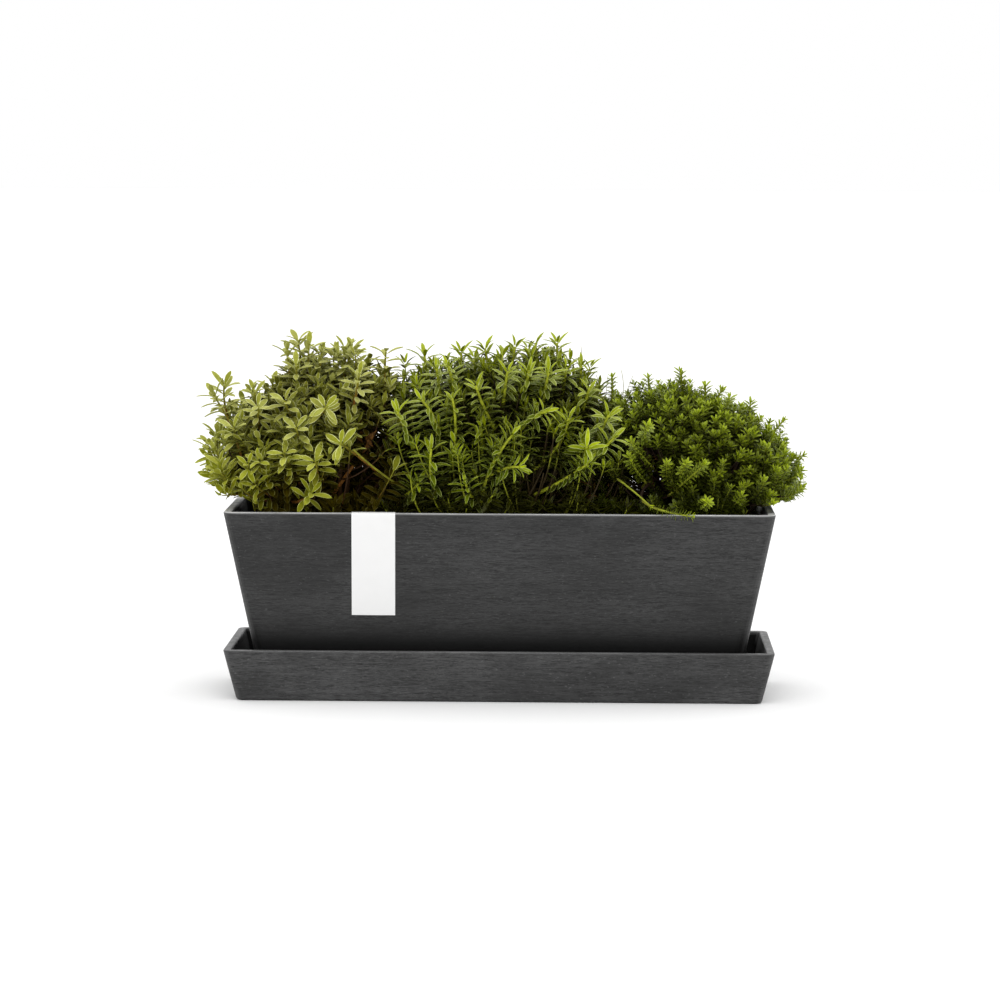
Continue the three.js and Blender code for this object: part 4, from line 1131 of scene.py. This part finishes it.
# The shrubs' settings, with their defaults for the left, the middle and the right shrub
SHRUB_ROWS = {
    "leaf_length": ("length", "Length of a grown leaf", 19.5, 18.0, 8.2),
    "leaf_width": ("length", "Width of a grown leaf", 7.0, 4.5, 2.8),
    "leaf_spacing": ("length", "Distance from one whorl of leaves to the next", 4.8, 3.7, 2.3),
    "leafy_length": ("length", "Length of a shoot that bears leaves", 62.0, 82.0, 34.0),
    "stem_width": ("length", "Width of a shoot's stem", 2.7, 3.6, 2.2),
    "dark_depth": ("length", "Depth in the canopy at which the lowest leaves are darkest", 42.0, 25.0, 20.0),
    "top_spacing": ("length", "Distance between the shoots on the canopy's top", 20.0, 16.0, 11.8),
    "outer_shoots": ("count", "Shoots that end near the canopy's surface", 110, 110, 430),
    "inner_shoots": ("count", "Shoots that end inside the canopy", 380, 430, 440),
    "boughs": ("count", "Woody stems that leave the crown", 14, 14, 20),
    "upright": ("share", "How far the shoots turn upwards", 0.72, 0.84, 0.66),
    "fold": ("share", "How far a leaf's edges rise from its middle", 0.2, 0.22, 0.2),
    "midrib": ("share", "How pale the midrib is", 0.12, 0.25, 0.1),
    "edge_width": ("share", "Width of the pale edge as a share of half the leaf", 0.16, 0.2, 0.28),
    "edge_strength": ("share", "How pale the edge is", 1.0, 1.0, 0.8),
    "gloss": ("share", "Roughness where the leaf is glossiest", 0.5, 0.34, 0.34),
    "ripening": ("share", "Share of the leafy length after which leaves are full grown", 0.6, 0.25, 0.3),
    "shine": ("share", "How strongly the leaves reflect", 0.05, 0.12, 0.16),
    # Painted top light: the colour that up-facing leaves are painted
    "bloom": (
        "colour", "Colour of the leaves that face up",
        (0.52, 0.53, 0.16), (0.175, 0.215, 0.005), (0.165, 0.215, 0.004)),
    "young_leaf": (
        "colour", "Colour of the leaves at the tips",
        (0.31, 0.335, 0.025), (0.44, 0.52, 0.005), (0.41, 0.52, 0.003)),
    "grown_leaf": (
        "colour", "Colour of the grown leaves",
        (0.24, 0.23, 0.003), (0.068, 0.1, 0.0005), (0.085, 0.12, 0.0006)),
    # Painted shade: the colour of the leaves deepest in shade, whatever their age
    "inner_leaf": (
        "colour", "Colour of the oldest and innermost leaves",
        (0.038, 0.027, 0.0005), (0.016, 0.015, 0.0003), (0.019, 0.025, 0.0003)),
    "leaf_edge": (
        "colour", "Colour of the pale edge and midrib",
        (0.68, 0.7, 0.33), (0.54, 0.6, 0.2), (0.48, 0.56, 0.08)),
    "green_stem": (
        "colour", "Colour of the young stems",
        (0.25, 0.25, 0.015), (0.38, 0.42, 0.02), (0.3, 0.34, 0.02)),
    "woody_stem": (
        "colour", "Colour of the old stems",
        (0.28, 0.11, 0.014), (0.2, 0.12, 0.01), (0.12, 0.05, 0.015)),
}
LeftShrubLook, MiddleShrubLook, RightShrubLook = (
    settings(title, about, {key: (*row[:2], row[column]) for key, row in SHRUB_ROWS.items()})
    for column, title, about in (
        (2, "LeftShrubLook", "The shrub with short, pale-edged leaves"),
        (3, "MiddleShrubLook", "The shrub with narrow, arching leaves"),
        (4, "RightShrubLook", "The low shrub with fine, crowded leaves")))

StageLook = settings("StageLook", "The floor and the lights", {
    "floor": ("colour", "Colour of the pale floor", (0.96, 0.96, 0.96)),
    "world_light": ("strength", "Strength of the even light", 0.38),
    "key_light": ("strength", "Strength of the soft light from above", 1.8),
    "front_light": ("strength", "Strength of the soft light from the front", 1.7),
})


class TroughSettings(bpy.types.PropertyGroup):
    """All of the trough's settings, part by part"""

    moulding: PointerProperty(type=MouldingLook, name="Planter and saucer")
    label: PointerProperty(type=LabelLook, name="Label")
    soil: PointerProperty(type=SoilLook, name="Soil")
    left: PointerProperty(type=LeftShrubLook, name="Left shrub")
    middle: PointerProperty(type=MiddleShrubLook, name="Middle shrub")
    right: PointerProperty(type=RightShrubLook, name="Right shrub")
    stage: PointerProperty(type=StageLook, name="Stage")


# Operators


def give_finish(node, finish):
    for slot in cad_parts[node].material_slots:
        slot.material = finish


class TROUGH_OT_finish_mouldings(bpy.types.Operator):
    """Give the planter and the saucer their brushed grey plastic"""

    bl_idname = "trough.finish_mouldings"
    bl_label = "Finish Planter and Saucer"

    def execute(self, context):
        look = context.scene.trough.moulding
        # The planter is painted in shade at its foot, fading up from the saucer's rim
        planter = moulded_grey(
            look, "planter", PLANTER_SLOPE, tone=0.86, wear=look.wear,
            painted_shade_top=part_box("saucer")[1].z + FOOT_FADE, painted_shade_below=9 * MM)
        give_finish("planter", planter)
        # The saucer gets no painted shade at its foot
        no_painted_shade_top = -1.0
        # The same plastic, painted paler for the saucer as painted light, with weaker painted highlights
        saucer = moulded_grey(
            look, "saucer", SAUCER_SLOPE, tone=look.saucer_tone, wear=look.wear * 0.1,
            painted_shade_top=no_painted_shade_top, painted_shade_below=4 * MM)
        give_finish("saucer", saucer)
        return {"FINISHED"}


class TROUGH_OT_fold_label(bpy.types.Operator):
    """Fold the blank card label over the rim"""

    bl_idname = "trough.fold_label"
    bl_label = "Fold Label"

    def execute(self, context):
        look = context.scene.trough.label
        rings = label_strip(look)
        rows, count = rings.shape[:2]
        quads, _ = ring_faces(rows, count)
        strip = np.arange(count // 2 - 1)
        cap = np.stack([strip, strip + 1, count - 2 - strip, count - 1 - strip], axis=1)
        faces = [quads[:, ::-1], cap, cap[:, ::-1] + (rows - 1) * count]
        label = put_mesh("label_card_folded", rings.reshape(-1, 3), faces, card_paper(look))
        label.data.set_sharp_from_angle(angle=np.radians(40))
        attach(label, "label")
        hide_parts("label_card")
        return {"FINISHED"}


class TROUGH_OT_fill_soil(bpy.types.Operator):
    """Fill the planter with soil, and finish what lies hidden in it"""

    bl_idname = "trough.fill_soil"
    bl_label = "Fill With Soil"

    def execute(self, context):
        look = context.scene.trough.soil
        rings = soil_block(look)
        points = np.concatenate([rings.reshape(-1, 3), rings[[0, -1]].mean(axis=1)])
        tones = look.dark, look.middle, look.light
        earth = crumbs("potting_soil_finish", *tones, grain=2.2 * MM, depth=0.9 * MM)
        soil = put_mesh("potting_soil_fill", points, list(ring_faces(*rings.shape[:2])), earth)
        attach(soil, "planter")
        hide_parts("potting_soil")
        clay = ((0.12, 0.05, 0.022), (0.24, 0.105, 0.05), (0.36, 0.2, 0.11))
        roots = ((0.022, 0.012, 0.006), (0.06, 0.036, 0.018), (0.42, 0.34, 0.2))
        pellets = crumbs("drainage_layer_finish", *clay, grain=7 * MM, depth=2 * MM)
        give_finish("drainage_layer", pellets)
        root_finish = crumbs("root_ball_finish", *roots, grain=3 * MM, depth=1 * MM)
        for which in SHRUBS:
            give_finish(f"root_ball_{which}", root_finish)
        return {"FINISHED"}


class TROUGH_OT_grow_shrub(bpy.types.Operator):
    """Grow one shrub's stems and leaves in place of its plain solid"""

    bl_idname = "trough.grow_shrub"
    bl_label = "Grow Shrub"

    which: EnumProperty(
        name="Shrub", description="The shrub to grow",
        items=[(key, key.title(), f"The {key} shrub") for key in SHRUBS])

    def execute(self, context):
        grow_shrub(self.which, getattr(context.scene.trough, self.which))
        return {"FINISHED"}


class TROUGH_OT_set_stage(bpy.types.Operator):
    """Set the pale floor, the soft light and the camera"""

    bl_idname = "trough.set_stage"
    bl_label = "Set Stage"

    def execute(self, context):
        look = context.scene.trough.stage
        scene = context.scene
        scene.view_settings.view_transform = "Standard"
        set_world(scene, look)
        set_floor(look)
        add_sun("key_light", look.key_light, (-0.03, -0.2, -1.0))
        add_sun("front_light", look.front_light, (0.02, 0.8, -0.6))
        set_camera(scene)
        return {"FINISHED"}


def set_world(scene, look):
    """Even white light, which the camera and glossy surfaces see as plain white."""
    scene.world = bpy.data.worlds.new("studio")
    nodes = Nodes(scene.world)
    rays = nodes.add("ShaderNodeLightPath")
    glossy = nodes.maths("MAXIMUM", rays["Is Glossy Ray"], rays["Is Transmission Ray"])
    seen = nodes.maths("MAXIMUM", rays["Is Camera Ray"], glossy)
    background = nodes.tree.nodes["Background"].inputs
    nodes.feed(background["Strength"], nodes.ramp(seen, 0.0, 1.0, look.world_light, 1.0))
    nodes.feed(background["Color"], (1.0, 1.0, 1.0))


def set_floor(look):
    """A wide flat floor just under the saucer, in faintly uneven pale grey."""
    nodes = material_nodes("floor_finish")
    colour = nodes.mix(nodes.noise((3.0, 3.0, 3.0), detail=2.0), look.floor, scaled(look.floor, 0.995))
    half_width = 30.0
    drop = 0.05 * MM
    points = half_width * np.array([(-1, -1, 0), (1, -1, 0), (1, 1, 0), (-1, 1, 0)])
    points[:, 2] = CAD_BOX[0][2] - drop
    faces = [np.arange(4)[None]]
    finish = nodes.surface(colour, roughness=0.9, specular=0.0)
    floor = put_mesh("floor", points, faces, finish, smooth=False)


def add_sun(name, strength, heading):
    """A soft distant light along a heading."""
    light = bpy.data.lights.new(name, "SUN")
    light.energy = strength
    light.angle = np.radians(LIGHT_SPREAD)
    lamp = bpy.data.objects.new(name, light)
    lamp.rotation_euler = Vector(heading).to_track_quat("-Z", "Y").to_euler()
    bpy.context.scene.collection.objects.link(lamp)


def set_camera(scene):
    """The photograph's camera: its place, turn, downward tilt and roll."""
    lens = bpy.data.cameras.new("camera")
    lens.lens = LENS
    lens.sensor_width = 36.0
    lens.clip_end = 100.0
    camera = bpy.data.objects.new("camera", lens)
    down, turn, roll = np.radians((CAMERA_DOWN, CAMERA_TURN, CAMERA_ROLL))
    ahead = np.array((-np.sin(turn) * np.cos(down), np.cos(turn) * np.cos(down), -np.sin(down)))
    level = np.array((np.cos(turn), np.sin(turn), 0.0))
    top = np.cross(level, ahead)
    right = level * np.cos(roll) - top * np.sin(roll)
    top = level * np.sin(roll) + top * np.cos(roll)
    turned = Matrix(np.stack([right, top, -ahead], axis=1).tolist()).to_4x4()
    camera.matrix_world = Matrix.Translation(CAMERA_PLACE) @ turned
    scene.collection.objects.link(camera)
    scene.camera = camera


class TROUGH_PT_panel(bpy.types.Panel):
    """Lists the steps that dress the trough"""

    bl_label = "Planted Trough"
    bl_idname = "TROUGH_PT_panel"
    bl_space_type = "VIEW_3D"
    bl_region_type = "UI"
    bl_category = "Trough"

    def draw(self, context):
        column = self.layout.column()
        for step in ("finish_mouldings", "fold_label", "fill_soil"):
            column.operator(f"trough.{step}")
        column.operator_menu_enum("trough.grow_shrub", "which")
        column.operator("trough.set_stage")


CLASSES = (
    MouldingLook, LabelLook, SoilLook, LeftShrubLook, MiddleShrubLook, RightShrubLook, StageLook,
    TroughSettings, TROUGH_OT_finish_mouldings, TROUGH_OT_fold_label, TROUGH_OT_fill_soil,
    TROUGH_OT_grow_shrub, TROUGH_OT_set_stage, TROUGH_PT_panel,
)


def register():
    for each in CLASSES:
        bpy.utils.register_class(each)
    bpy.types.Scene.trough = PointerProperty(type=TroughSettings)


def unregister():
    del bpy.types.Scene.trough
    for each in reversed(CLASSES):
        bpy.utils.unregister_class(each)


def main():
    """Takes every step in order, and notes how large the CAD and the dressed object are."""
    register()
    bpy.ops.trough.set_stage()
    bpy.ops.trough.finish_mouldings()
    bpy.ops.trough.fold_label()
    bpy.ops.trough.fill_soil()
    for which in SHRUBS:
        bpy.ops.trough.grow_shrub(which=which)


if __name__ == "__main__":
    main()
